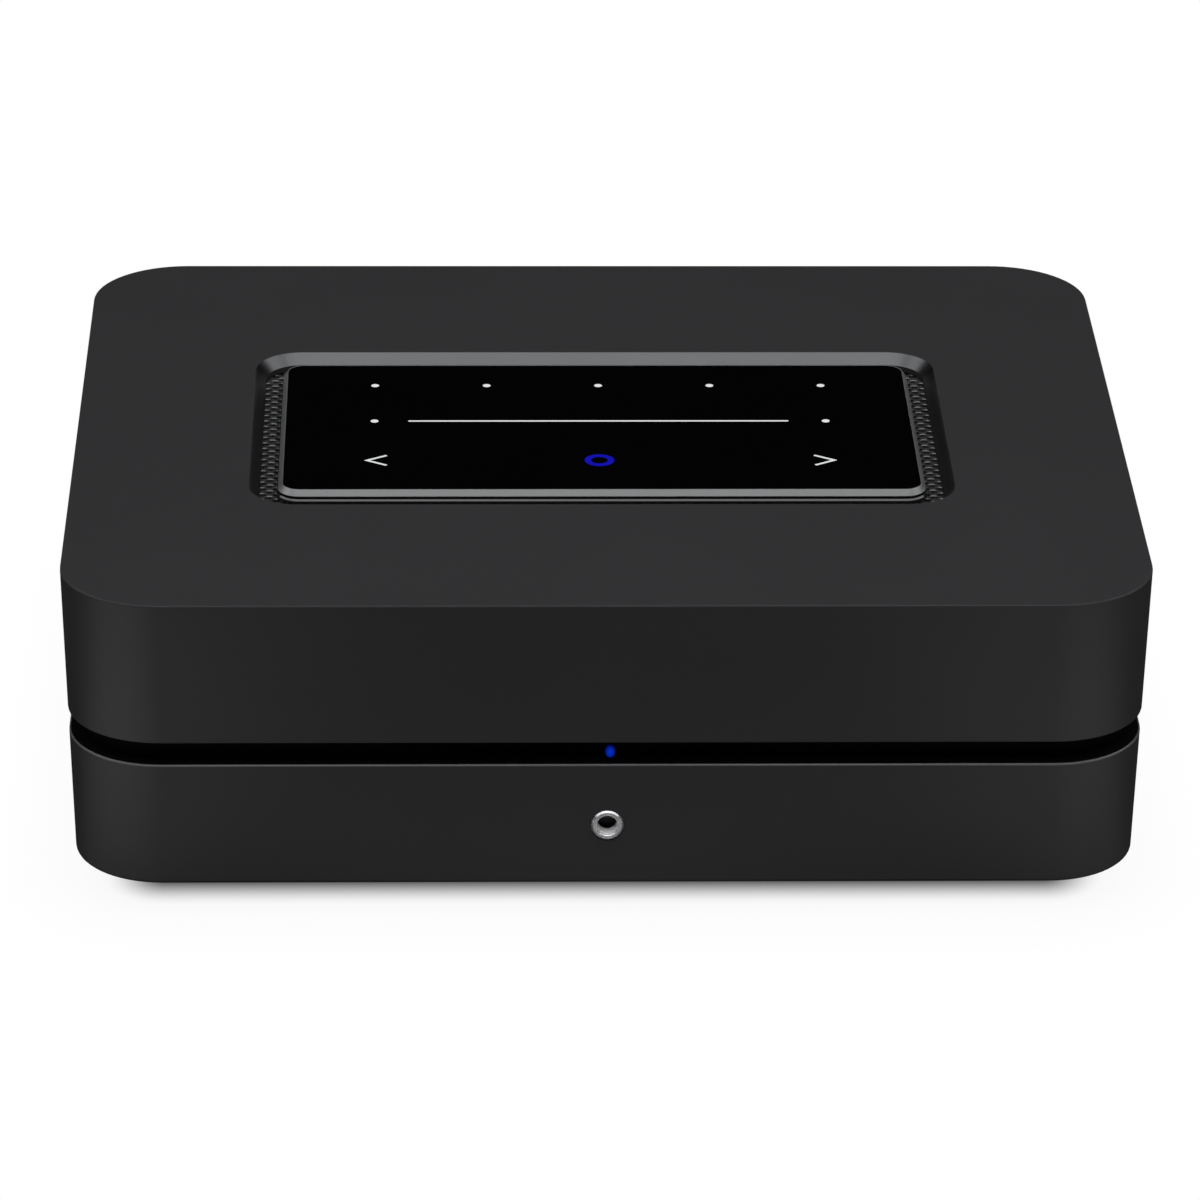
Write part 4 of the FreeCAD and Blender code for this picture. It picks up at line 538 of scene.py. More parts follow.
def number(material, operation, first, second):
    """A number worked out from two others."""
    node = add_node(material, "ShaderNodeMath", {0: first, 1: second}, operation=operation)
    return node.outputs["Value"]


def vector(material, operation, first, second=(0.0, 0.0, 0.0)):
    """A vector worked out from two others, or its length or their distance as a number."""
    node = add_node(material, "ShaderNodeVectorMath", {0: first, 1: second}, operation=operation)
    return node.outputs["Value" if operation in ("LENGTH", "DISTANCE") else "Vector"]


def tinted(material, mask, first, second):
    """A colour that goes from first to second with the mask."""
    inputs = {0: mask, 6: (*first, 1.0), 7: (*second, 1.0)}
    return add_node(material, "ShaderNodeMix", inputs, data_type="RGBA").outputs[2]


def raise_surface(material, shader, height, distance):
    """Bump of the given real height."""
    bump = add_node(material, "ShaderNodeBump", {"Height": height, "Distance": distance})
    link(material, bump.outputs["Normal"], shader, "Normal")


def darker(colour, share):
    """A share of a colour."""
    return tuple(c * share for c in colour)


def textured(name, colour, roughness, grain, height, metallic=0.0, specular=0.5,
             stretch=(1.0, 1.0, 1.0), patch=12 * MM, spread=0.06, tint=0.86):
    """A finish with slow patches in its colour, a changing roughness and a fine grain."""
    material, shader = new_material(name, colour, roughness, metallic, specular)
    slow = lumps(material, patch, 4.0)
    fine = lumps(material, grain, 2.0, stretch)
    colours = tinted(material, between(material, slow, 0.0, 1.0), darker(colour, tint), colour)
    link(material, colours, shader, "Base Color")
    rough = between(material, fine, roughness - spread / 2, roughness + spread / 2)
    link(material, rough, shader, "Roughness")
    raise_surface(material, shader, fine, height)
    return shader


def satin_case_paint(finish):
    """Charcoal paint with a very fine orange peel. Its gloss is a thin coat. The lower cover's
    eased rim takes a lighter paint with a full coat: the lighter colour is a painted highlight."""
    rows = (("case_plastic", finish.case, 0.35, 0.46), ("rim_painted_highlight", finish.edge, 1.0, 0.34))
    for name, colour, coat, rough in rows:
        shader = textured(name, colour, 0.5, 0.35 * MM, 0.0016 * MM, specular=0.0, patch=45 * MM,
                          tint=0.93)
        shader.inputs["Coat Weight"].default_value = coat
        shader.inputs["Coat Roughness"].default_value = rough


def black_and_painted_shade():
    """Black that almost nothing comes back from: the waist band's own black darkened into painted
    shade, and painted shade on the lower cover's rim top and the light pipe's block.
    """
    textured("black_and_painted_shade", (0.0012, 0.0012, 0.0013), 0.8, 0.3 * MM, 0.004 * MM, specular=0.05)


def polished_well_edge(finish):
    """The well's bright cut slope, brushed along by the cutter."""
    textured("well_edge", finish.well_edge, 0.30, 0.25 * MM, 0.0006 * MM, metallic=1.0,
             patch=18 * MM, spread=0.05, tint=0.94)


def anodised_frame(finish):
    """Bead blasted and anodised aluminium."""
    textured("dark_aluminium", finish.frame, 0.40, 0.08 * MM, 0.0012 * MM, metallic=0.5,
             patch=15 * MM, spread=0.05, tint=0.95)


def touch_glass(finish):
    """Polished glass printed black behind, with a trace of handling in its roughness."""
    material, shader = new_material("black_glass", finish.glass, 0.03)
    smear = lumps(material, 22 * MM, 5.0)
    colour = tinted(material, smear, darker(finish.glass, 0.7), finish.glass)
    link(material, between(material, smear, 0.02, 0.055), shader, "Roughness")
    link(material, colour, shader, "Base Color")


def lit(name, colour, strength):
    """Lit print: a glow that is a little uneven, as behind a light guide."""
    material, shader = new_material(name, darker(colour, 0.05), 0.5, specular=0.1)
    shader.inputs["Emission Strength"].default_value = strength
    slow = lumps(material, 0.6 * MM, 1.0)
    glow = tinted(material, between(material, slow, 0.0, 1.0), darker(colour, 0.94), colour)
    link(material, glow, shader, "Emission Color")


def lit_lens(finish, waist):
    """The status light's lens. Its glow is a little taller than wide, and fades from its middle
    to a dark blue at its edge."""
    material, shader = new_material("status_lens", (0.0, 0.001, 0.004), 0.5, specular=0.1)
    tall, even, edge, dark_blue = 1.35, 0.3 * MM, 1.15 * MM, finish.status[2] * 0.12
    place = place_on_object(material, (1.0, 1.0, tall))
    front = PIPE_LOW[1] - waist.light_stand
    middle = (PIPE_LOW[0] + PIPE_HIGH[0]) / 2
    centre = (middle, front, (Z_RIM + waist.light_rise) / tall)
    off = vector(material, "DISTANCE", place, centre)
    share = ramp(material, off, even, edge, 1.0, 0.0)
    glow = tinted(material, share, (0.0, 0.0, dark_blue), finish.status)
    shader.inputs["Emission Strength"].default_value = finish.blue_glow
    link(material, glow, shader, "Emission Color")


def circuit_board():
    """Solder mask with copper runs that show through it as slightly raised lines."""
    material, shader = new_material("circuit_board", (0.01, 0.07, 0.03), 0.35)
    runs = add_node(material, "ShaderNodeTexBrick", {
        "Vector": place_on_object(material), "Scale": 1.0,
        "Mortar Size": 0.25 * MM, "Mortar Smooth": 0.4,
        "Brick Width": 7.3 * MM, "Row Height": 1.9 * MM,
        "Color1": (0.008, 0.055, 0.024, 1), "Color2": (0.012, 0.075, 0.032, 1),
        "Mortar": (0.03, 0.13, 0.05, 1),
    })
    link(material, runs.outputs["Color"], shader, "Base Color")
    raise_surface(material, shader, runs.outputs["Fac"], 0.02 * MM)


def striped(name, colour, roughness, metallic, wave, first, second, height):
    """A finish with raised stripes that go from the first colour to the second. The wave is
    their pitch, direction and distortion."""
    material, shader = new_material(name, colour, roughness, metallic=metallic)
    mask = stripes(material, *wave)
    link(material, tinted(material, mask, first, second), shader, "Base Color")
    raise_surface(material, shader, mask, height)


def striped_finishes():
    """Enamelled wire laid side by side, film over flat copper runs, and a gold plated stud with
    a rolled thread."""
    striped("winding", (0.35, 0.13, 0.04), 0.3, 0.6, (0.8 * MM, "X", 0.4),
            (0.12, 0.035, 0.01), (0.45, 0.18, 0.06), 0.15 * MM)
    striped("ribbon", (0.82, 0.83, 0.85), 0.35, 0.0, (1.0 * MM, "X", 0.0),
            (0.85, 0.85, 0.86), (0.55, 0.36, 0.22), 0.03 * MM)
    striped("gold_thread", (0.8, 0.55, 0.2), 0.24, 1.0, (0.8 * MM, "Y", 0.0),
            (0.45, 0.28, 0.08), (0.85, 0.6, 0.24), 0.12 * MM)


def shrunk_sleeve():
    """Printed sleeve shrunk round a can, with its seam side lighter."""
    material, shader = new_material("capacitor_sleeve", (0.012, 0.018, 0.05), 0.28)
    wrinkles = lumps(material, 0.7 * MM, 3.0, (1.0, 1.0, 6.0))
    bands = stripes(material, 20.0 * MM, "X", 0.0)
    colours = tinted(material, bands, (0.012, 0.018, 0.05), (0.05, 0.06, 0.09))
    link(material, colours, shader, "Base Color")
    raise_surface(material, shader, wrinkles, 0.02 * MM)


def plain_finishes():
    """The finishes that differ only in their numbers. Most colours are the record's."""
    # Roughness, the grain's size and height in millimetres, and the specular level.
    plastics = {
        "black_plastic": (0.38, 0.25, 0.003, 0.35),
        "black_steel": (0.42, 0.20, 0.006, 0.5),
        "rubber": (0.75, 0.30, 0.020, 0.3),
        "ferrite": (0.55, 0.30, 0.015, 0.4),
        "lead_sleeve": (0.45, 0.60, 0.010, 0.5),
        "diffuser": (0.60, 0.40, 0.004, 0.5),
        "red_cap": (0.32, 0.35, 0.004, 0.5),
        "black_cap": (0.32, 0.35, 0.004, 0.5),
    }
    for name, (rough, grain, height, specular) in plastics.items():
        textured(name, RECORD_COLOURS[name], rough, grain * MM, height * MM, specular=specular)
    # The same three, and how the grain is stretched along each axis.
    metals = {
        "plain_aluminium": (0.38, 0.4, 0.004, (1.0, 12.0, 1.0)),
        "zinc_steel": (0.34, 0.5, 0.003, (1.0, 1.0, 1.0)),
        "black_screws": (0.38, 0.3, 0.003, (1.0, 1.0, 1.0)),
        "nickel": (0.18, 0.5, 0.0002, (1.0, 1.0, 1.0)),
        "gold_plate": (0.20, 0.5, 0.002, (1.0, 1.0, 1.0)),
        "tinplate": (0.36, 0.4, 0.003, (8.0, 1.0, 1.0)),
        "brass": (0.26, 0.3, 0.003, (1.0, 1.0, 8.0)),
    }
    for name, (rough, grain, height, stretch) in metals.items():
        textured(name, RECORD_COLOURS[name], rough, grain * MM, height * MM, metallic=1.0,
                 stretch=stretch)
    textured("carrier_plastic", RECORD_COLOURS["black_plastic"], 0.22, 0.3 * MM, 0.001 * MM,
             specular=0.6)
    textured("grille_steel", (0.034, 0.034, 0.036), 0.28, 0.2 * MM, 0.003 * MM, specular=0.8)
    textured("ring_metal", (0.52, 0.52, 0.54), 0.26, 0.5 * MM, 0.0001 * MM, metallic=0.75)
    # The sleeve's near-white is a painted highlight: it stands in for the bright reflection low
    # inside the headphone ring.
    textured("sleeve_painted_highlight", (0.98, 0.98, 0.99), 0.45, 0.3 * MM, 0.0002 * MM, specular=1.0)


# Case

def case_core(case):
    """Half the distances between the centres of the upright corners."""
    return np.array([case.width / 2 - case.corner, case.depth / 2 - case.corner])


def side(case, z, inset=0.0):
    """The radius that puts a ring on the leaning sides at height z, moved in by inset."""
    return case.corner - case.lean * (Z_TOP - z) - inset


def side_points(case, places):
    """(radius, z) points on the sides from (inset, z) places."""
    return [(side(case, z, inset), z) for inset, z in places]


def well_core(panel, corner):
    """Half the distances between the corner centres of the well's rim."""
    half = (GLASS_HIGH - GLASS_LOW)[:2] / 2
    return half + (panel.well_margin_x, panel.well_margin_y) - corner


def upper_cover_rings(case, panel):
    """The upper cover's outline carried round: the well's lip and slope, the top, its eased edge,
    the leaning side, the eave, the flange, the inside and the ceiling. The slope's bands have
    finish 1."""
    z_ceiling = Z_TOP - case.ceiling
    z_lip = Z_TOP - panel.well_lip
    rim_r, lip_r = panel.well_corner, panel.well_corner - panel.well_slope
    well = [(lip_r, z_ceiling), (lip_r, z_lip), (rim_r, Z_TOP), (rim_r + OUTLINE_REACH, Z_TOP)]
    well = eased(well, (0.12 * MM, panel.well_ease))[:-1]
    z_flange = Z_EAVE + case.flange_height
    outside = side_points(case, [
        (OUTLINE_REACH, Z_TOP), (0, Z_TOP), (0, Z_EAVE), (case.flange, Z_EAVE),
        (case.flange, z_flange), (case.wall, z_flange), (case.wall, z_ceiling),
    ])
    outside = eased(outside, (case.top_ease, case.eave_ease, 0.2 * MM, 0, 0))[1:]
    rings = np.vstack([
        carried(well_core(panel, rim_r), (0, PANEL_Y), well),
        carried(case_core(case), (0, CASE_Y), outside),
    ])
    sloped = np.zeros(len(rings), int)
    sloped[1:EASE_STEPS + 2] = 1
    return rings, sloped


def lower_cover_rings(case):
    """The lower cover's outline carried round: the rim, the leaning side, the base, the stepped
    opening for the base plate, the floor, the inside and the flange. The eased rim's bands have
    finish 1, a lighter paint as a painted highlight, and its flat top has 2, a near-black as
    painted shade under the eave."""
    z_floor = Z_BASE + case.floor
    outside = side_points(case, [
        (OUTLINE_REACH, Z_RIM), (0, Z_RIM), (0, Z_BASE), (OUTLINE_REACH, Z_BASE),
    ])
    outside = eased(outside, (case.rim_ease, case.base_ease))[1:-1]
    plate_half = (PLATE_HIGH - PLATE_LOW)[:2] / 2
    plate_r, ledge_r = 8 * MM, 4 * MM
    opening_r = plate_r + 0.05 * MM
    z_plate = PLATE_HIGH[2]
    z_flange = Z_RIM - case.flange_height
    inside = side_points(case, [
        (case.wall, z_floor), (case.wall, z_flange), (case.flange, z_flange), (case.flange, Z_RIM),
    ])
    middle = (0, CASE_Y)
    rings = np.vstack([
        carried(case_core(case), middle, outside),
        carried(plate_half - plate_r, middle, [(opening_r, Z_BASE), (opening_r, z_plate)]),
        carried(plate_half - 3 * ledge_r, middle, [(ledge_r, z_plate), (ledge_r, z_floor)]),
        carried(case_core(case), middle, inside),
    ])
    bands = np.zeros(len(rings), int)
    bands[:EASE_STEPS] = 1
    bands[-1] = 2
    return rings, bands


def window_ring(window, profile):
    """A profile of (distance from the window's edge outwards, y) carried round the rear window."""
    r = window.corner
    core = (window.half_width - r, (window.top - window.bottom) / 2 - r)
    middle = (0, (window.top + window.bottom) / 2)
    return carried(core, middle, [(r + out, y) for out, y in profile], "y")


def window_tool(case, window):
    """The rear window as a bar along Y, from inside the case out through its rear."""
    reach = case.depth / 4
    return skin(window_ring(window, [(0, CASE_Y + reach), (0, REAR_LOW[1] + reach)]))


def window_lining(case, window, z_cut, upper):
    """Half of the short tunnel in the window, from the rear panel to inside the case's wall: a
    flat section carried along a U that ends at z_cut."""
    wall_z = Z_EAVE if upper else Z_BASE
    start = REAR_HIGH[1]
    end = CASE_Y + case.depth / 2 - case.lean * (Z_TOP - wall_z) - case.wall * 2 / 3
    thick = window.lining
    rings = window_ring(window, [(0, start), (0, end), (thick, end), (thick, start)])
    turn = 2 * (ROUND_STEPS + 1)
    half = rings[:, :turn] if upper else rings[:, turn:]
    first, last = half[:, :1].copy(), half[:, -1:].copy()
    first[..., 2] = z_cut
    last[..., 2] = z_cut
    return skin(np.concatenate([first, half, last], 1).transpose(1, 0, 2))


def boss_places(case):
    """Where the four case screws stand."""
    x = case.width / 2 - case.boss_inset
    y = case.depth / 2 - case.boss_inset
    return [(sx * x, CASE_Y + sy * y) for sx in (-1, 1) for sy in (-1, 1)]


class STREAMER_OT_upper_cover(bpy.types.Operator):
    """Builds the upper cover with its well and the upper half of the rear tunnel"""
    bl_idname = "streamer.upper_cover"
    bl_label = "Upper cover"

    def execute(self, context):
        scene = context.scene
        case, panel, window = scene.streamer_case, scene.streamer_panel, scene.streamer_window
        rings, sloped = upper_cover_rings(case, panel)
        cover = mesh_object("upper_cover", [skin(rings, loop=True, finish=sloped)])
        cut(cover, [window_tool(case, window)])
        finished(cover, ["case_plastic", "well_edge"], stands_for=["upper_shell"],
                 ease=case.edge_ease)
        joint = corners("lower_shell")[1][2]
        parts = [window_lining(case, window, Z_EAVE, True)]
        for place in boss_places(case):
            parts.append(boss(case.boss, place, joint, Z_TOP - case.ceiling))
        inside = mesh_object("upper_cover_inside", parts)
        finished(inside, ["case_plastic"])
        return {"FINISHED"}


class STREAMER_OT_lower_cover(bpy.types.Operator):
    """Builds the lower cover with its floor opening, screw hollows and headphone recess"""
    bl_idname = "streamer.lower_cover"
    bl_label = "Lower cover"

    def execute(self, context):
        scene = context.scene
        case, window, sockets = scene.streamer_case, scene.streamer_window, scene.streamer_sockets
        rings, bands = lower_cover_rings(case)
        cover = mesh_object("lower_cover", [skin(rings, loop=True, finish=bands)])
        cut(cover, [window_tool(case, window)])
        cut(cover, lower_cover_tools(case, sockets))
        # The rim's lighter paint is a painted highlight, and its near-black flat top is painted
        # shade under the eave.
        finished(cover, ["case_plastic", "rim_painted_highlight", "black_and_painted_shade"],
                 stands_for=["lower_shell"], ease=case.edge_ease)
        joint = corners("lower_shell")[1][2]
        z_floor = Z_BASE + case.floor
        parts = [window_lining(case, window, Z_RIM, False)]
        for place in boss_places(case):
            parts.append(boss(case.boss, place, z_floor, joint))
        board_low, board_high = corners("front_board")
        y, width, thick, height = board_high[1], 8 * MM, 3 * MM, 12 * MM
        for x in (board_low[0], board_high[0] - width):
            high = (x + width, y + thick, z_floor + height)
            parts.append(block((x, y, z_floor), high, 0.2 * MM))
        inside = mesh_object("lower_cover_inside", parts)
        finished(inside, ["case_plastic"])
        return {"FINISHED"}


def lower_cover_tools(case, sockets):
    """The hollows for the case screws and the stepped hole for the headphone ring."""
    tools = []
    start, end = Z_BASE - case.screw_sink, Z_BASE + case.screw_sink
    hollow, hole = case.screw_recess, 1.6 * MM
    path = [(hollow, start), (hollow, end), (hole, end), (hole, end + case.floor)]
    for place in boss_places(case):
        tools.append(skin(turned(path, place)))
    ring_low, ring_high = corners("headphone_ring")
    radius = (ring_high[0] - ring_low[0]) / 2 + 0.05 * MM
    neck = radius - 0.5 * MM
    seat = ring_low[1] + 0.55 * MM
    out, deep = ring_low[1] - 4 * MM, ring_high[1] + 2 * MM
    path = [(radius, out), (radius, seat), (neck, seat), (neck, deep)]
    tools.append(skin(turned(path, (0, sockets.phones_z), "y")))
    return tools


def open_ring(core, profile, gap):
    """A closed section carried round the case from one side of a gap in the rear to the other."""
    rings = carried(core, (0, CASE_Y), profile)
    rings = np.roll(rings, -(ROUND_STEPS + 1), axis=1)
    first, last = rings[:, :1].copy(), rings[:, -1:].copy()
    first[..., 0] = -gap
    last[..., 0] = gap
    return skin(np.concatenate([first, rings, last], 1).transpose(1, 0, 2))


class STREAMER_OT_waist(bpy.types.Operator):
    """Builds the recessed black band between the covers"""
    bl_idname = "streamer.waist"
    bl_label = "Waist"

    def execute(self, context):
        scene = context.scene
        case, waist, window = scene.streamer_case, scene.streamer_waist, scene.streamer_window
        core = case_core(case)
        behind = waist.recess + waist.thickness
        deep = behind + waist.rib
        joined = behind - JOIN
        z_low, z_high = Z_RIM - waist.rib_height, Z_EAVE + waist.rib_height
        band = side_points(case, [
            (waist.recess, Z_RIM), (waist.recess, Z_EAVE), (behind, Z_EAVE), (behind, Z_RIM),
        ])
        rib = side_points(case, [
            (joined, z_low), (joined, z_high), (deep, z_high), (deep, z_low),
        ])
        gap = window.half_width + window.lining
        parts = [open_ring(core, band, gap), open_ring(core, rib, gap + 2.5 * MM)]
        rear = CASE_Y + case.depth / 2 - waist.recess - 0.3 * MM
        for sx in (-1, 1):
            x0, x1 = sorted((sx * window.half_width, sx * (gap + JOIN)))
            parts.append(block((x0, REAR_HIGH[1], Z_RIM), (x1, rear, Z_EAVE), 0.05 * MM))
        piece = mesh_object("waist_ring", parts)
        margin = 0.3 * MM
        low = PIPE_LOW - (0.05 * MM, 5 * MM, margin)
        high = (PIPE_HIGH[0] + 0.05 * MM, PIPE_LOW[1] + 8 * MM, PIPE_HIGH[2] + margin)
        cut(piece, [block(low, high, 0.02 * MM)])
        # The band's near-black is partly its own black and partly painted shade in the recess
        # between the covers.
        finished(piece, ["black_and_painted_shade"], stands_for=["waist_band"])
        return {"FINISHED"}


class STREAMER_OT_status_light(bpy.types.Operator):
    """Builds the light pipe and its lens, a turned dome that is stretched upwards"""
    bl_idname = "streamer.status_light"
    bl_label = "Status light"

    def execute(self, context):
        waist = context.scene.streamer_waist
        r, z = waist.light_width / 2, Z_RIM + waist.light_rise
        front, back = PIPE_LOW[1] - waist.light_stand, PIPE_LOW[1] + 1.5 * MM
        path = [(r * 0.2, front), (r, front + 0.1 * MM), (r, back), (r * 0.2, back)]
        grid = turned(eased(path, (0.45 * MM, 0.1 * MM)), (waist.light_x, z), "y")
        grid[..., 2] = z + (grid[..., 2] - z) * waist.light_height / waist.light_width
        lens = skin(grid)
        # The pipe's block takes the near-black: painted shade behind the lens.
        pipe = block(PIPE_LOW + (0, 0.4 * MM, 0), PIPE_HIGH, 0.1 * MM, finish=1)
        piece = mesh_object("status_lens", [lens, pipe])
        finished(piece, ["status_lens", "black_and_painted_shade"],
                 stands_for=["status_light_pipe"])
        return {"FINISHED"}


# Touch panel

def in_rounded(points, half, radius):
    """Which points lie in a rounded rectangle about the origin: the distance from its core is at
    most radius."""
    off = np.maximum(np.abs(points) - (half - radius), 0)
    return np.hypot(off[:, 0], off[:, 1]) <= radius


def cell_rows(step, places, radii, heights):
    """Rings of points round each place: each ring at a height, with a radius for each angle."""
    angle = np.arange(CELL_STEPS) * 2 * np.pi / CELL_STEPS
    way = np.stack([np.cos(angle), np.sin(angle)], -1)
    edge = step / np.abs(way).sum(1)
    rows = np.stack([edge if r is None else np.full(CELL_STEPS, r) for r in radii])
    flat = places[:, None, None] + rows[..., None] * way
    high = np.broadcast_to(np.array(heights)[:, None, None], (*flat.shape[:3], 1))
    return np.concatenate([flat, high], -1).reshape(-1, 3)


def vent_lattice(panel, z_low, z_high, half_lip, lip_r, half_carrier, carrier_r):
    """A perforated sheet made of square cells set on their corners. A cell's boundary at angle a
    is at step / (|cos a| + |sin a|) from its middle. A cell with a hole has five rings: the
    boundary, the eased edge, the hole's top, the hole's bottom and the boundary below. Cells
    without a hole are flat. Points of neighbouring cells are merged, and edges that only one cell
    has get a wall."""
    step, hole, ease = panel.hole_step, panel.hole_radius, panel.hole_ease
    count = np.ceil(half_lip / step + 5).astype(int)
    i, j = np.meshgrid(*(np.arange(-n, n + 1) for n in count), indexing="ij")
    places = np.stack([i, j], -1)[(i + j) % 2 == 0] * step
    sheet = in_rounded(places, half_lip + 3 * step, lip_r + 3 * step)
    sheet &= ~in_rounded(places, half_carrier - 3 * step, carrier_r)
    open_here = in_rounded(places, half_lip, lip_r)
    open_here &= ~in_rounded(places, half_carrier, carrier_r)
    holes, solid = places[open_here], places[sheet & ~open_here]
    heights = (z_high, z_high, z_high - ease, z_low, z_low)
    points = np.vstack([
        cell_rows(step, holes, (None, hole + ease, hole, hole, None), heights),
        cell_rows(step, solid, (None, None), (z_high, z_low)),
    ]) + (0, PANEL_Y, 0)
    columns = CELL_STEPS
    j = np.arange(columns)
    here = np.arange(4)[:, None] * columns
    beside = here + (j + 1) % columns
    quad = np.stack([here + j, beside, beside + columns, here + j + columns], -1).reshape(-1, 4)
    starts = np.arange(len(holes)) * 5 * columns
    quads = (starts[:, None, None] + quad).reshape(-1, 4)
    flat_starts = len(holes) * 5 * columns + np.arange(len(solid)) * 2 * columns
    tops = flat_starts[:, None] + j
    bottoms = tops + columns
    key = np.round(points / MERGE_DISTANCE).astype(np.int64)
    _, kept, merged = np.unique(key, axis=0, return_index=True, return_inverse=True)
    merged = merged.ravel()
    upper = merged[np.vstack([starts[:, None] + j, tops])]
    lower = merged[np.vstack([starts[:, None] + 4 * columns + j, bottoms])]
    first, second = upper.ravel(), np.roll(upper, -1, 1).ravel()
    first_low, second_low = lower.ravel(), np.roll(lower, -1, 1).ravel()
    pair = np.sort(np.stack([first, second], -1), 1)
    _, which, uses = np.unique(pair, axis=0, return_inverse=True, return_counts=True)
    rim = uses[which.ravel()] == 1
    walls = np.stack([first, first_low, second_low, second], -1)[rim]
    faces = [merged[quads], merged[tops], merged[bottoms[:, ::-1]], walls]
    return points[kept], faces, [np.zeros(len(f), int) for f in faces]


class STREAMER_OT_vent(bpy.types.Operator):
    """Builds the perforated ring that is the well's floor"""
    bl_idname = "streamer.vent"
    bl_label = "Vent grille"

    def execute(self, context):
        panel = context.scene.streamer_panel
        low, high = corners("vent_grille")
        slope = panel.well_slope
        lip_r = panel.well_corner - slope
        half_lip = well_core(panel, 0.0) - slope
        half_carrier = (CARRIER_HIGH - CARRIER_LOW)[:2] / 2
        carrier_r = panel.glass_corner + half_carrier[0] - (GLASS_HIGH[0] - GLASS_LOW[0]) / 2
        lattice = vent_lattice(panel, low[2], high[2], half_lip, lip_r, half_carrier, carrier_r)
        piece = mesh_object("vent_lattice", [lattice])
        finished(piece, ["grille_steel"], stands_for=["vent_grille"])
        return {"FINISHED"}


def glass_core(panel):
    """Half the distances between the corner centres of the touch glass."""
    return (GLASS_HIGH - GLASS_LOW)[:2] / 2 - panel.glass_corner


class STREAMER_OT_touch_panel(bpy.types.Operator):
    """Builds the carrier, the chamfered frame and the touch glass"""
    bl_idname = "streamer.touch_panel"
    bl_label = "Touch panel"

    def execute(self, context):
        panel = context.scene.streamer_panel
        core, middle = glass_core(panel), (0, PANEL_Y)
        r = panel.glass_corner
        inner = 1.0 * MM
        z_carrier, z_foot, z_seat = CARRIER_HIGH[2], Z_TOP - panel.frame_drop, GLASS_LOW[2]
        out = r + (CARRIER_HIGH[0] - GLASS_HIGH[0])
        chamfer = panel.carrier_chamfer
        carrier = [
            (inner, CARRIER_LOW[2]), (out, CARRIER_LOW[2]), (out, z_carrier - chamfer),
            (out - chamfer, z_carrier), (inner, z_carrier),
        ]
        eases = (0, 0.1 * MM, 0.1 * MM, 0.1 * MM, 0.1 * MM)
        carrier = carried(core, middle, eased_loop(carrier, eases))
        piece = mesh_object("carrier_ring", [skin(carrier, loop=True)])
        finished(piece, ["carrier_plastic"], stands_for=["panel_carrier"])
        land, foot, seat = r + panel.frame_land, r + panel.frame_out, r + 0.05 * MM
        bezel = [
            (foot, z_foot), (land, Z_TOP), (seat, Z_TOP), (seat, z_seat), (inner, z_seat),
            (inner, z_carrier), (land, z_carrier), (land, z_foot),
        ]
        eases = (0.08 * MM, 0.06 * MM, 0.03 * MM, 0, 0, 0, 0.05 * MM, 0)
        bezel = carried(core, middle, eased_loop(bezel, eases))
        piece = mesh_object("frame_chamfer", [skin(bezel, loop=True)])
        finished(piece, ["dark_aluminium"], stands_for=["panel_bezel"])
        z_glass = Z_TOP - panel.glass_drop
        glass = [(r * 0.9, z_seat), (r, z_seat), (r, z_glass), (r * 0.9, z_glass)]
        glass = carried(core, middle, eased(glass, (0.1 * MM, 0.12 * MM)))
        piece = mesh_object("touch_glass", [skin(glass)])
        finished(piece, ["black_glass"], stands_for=["panel_glass"])
        return {"FINISHED"}


def printed(outline, z_low, z_high):
    """A flat legend: an outline of (x, y) points raised from z_low to z_high."""
    return skin(np.stack([np.insert(outline, 2, z, axis=1) for z in (z_low, z_high)]))


def arrow_outline(side_x, legend):
    """An open arrowhead: two strokes of the line's width that meet at the tip and end square."""
    half = legend.arrow_height / 2
    run = np.array([-legend.arrow_width, half])
    run /= np.linalg.norm(run)
    across = np.array([run[1], -run[0]]) * legend.line_width
    tip = np.array([legend.arrow_tip, 0.0])
    end = tip + run * (half / run[1])
    inner_tip = tip - (legend.line_width / run[1], 0)
    upper = np.array([tip, end, end - across, inner_tip])
    lower = upper[:0:-1] * (1, -1)
    outline = np.vstack([upper, lower[1:]])
    return outline * (side_x, 1) + (0, PANEL_Y - legend.key_row)


class STREAMER_OT_legends(bpy.types.Operator):
    """Builds the lit dots, line, arrows and ring of the touch panel"""
    bl_idname = "streamer.legends"
    bl_label = "Legends"

    def execute(self, context):
        legend = context.scene.streamer_legend
        low, high = Z_TOP - legend.depth, Z_TOP
        r = legend.dot
        dot = [(r * 0.5, low), (r, low), (r, high), (r * 0.5, high)]
        rows = [(k, legend.dot_row) for k in range(-2, 3)] + [(k, legend.line_row) for k in (-2, 2)]
        parts = []
        for k, row in rows:
            place = (k * legend.dot_step + legend.row_shift, PANEL_Y + row)
            parts.append(skin(turned(eased(dot, (0, 0.04 * MM)), place)))
        r = legend.line_width / 2
        core, middle = (legend.line_length / 2 - r, 0.001 * MM), (0, PANEL_Y + legend.line_row)
        parts.append(skin(carried(core, middle, [(r, low), (r, high)])))
        parts += [printed(arrow_outline(sx, legend), low, high) for sx in (-1, 1)]
        white = mesh_object("lit_legends", parts)
        finished(white, ["white_light"], stands_for=["touch_legends"])
        outer, inner = legend.ring, legend.ring_hole
        loop = [(outer, low), (outer, high), (inner, high), (inner, low)]
        middle = (-legend.ring_shift, PANEL_Y - legend.key_row)
        ring = mesh_object("lit_ring", [ring_bar(loop, middle, "z")])
        finished(ring, ["blue_light"], stands_for=["play_ring_legend"])
        return {"FINISHED"}


# Sockets and posts

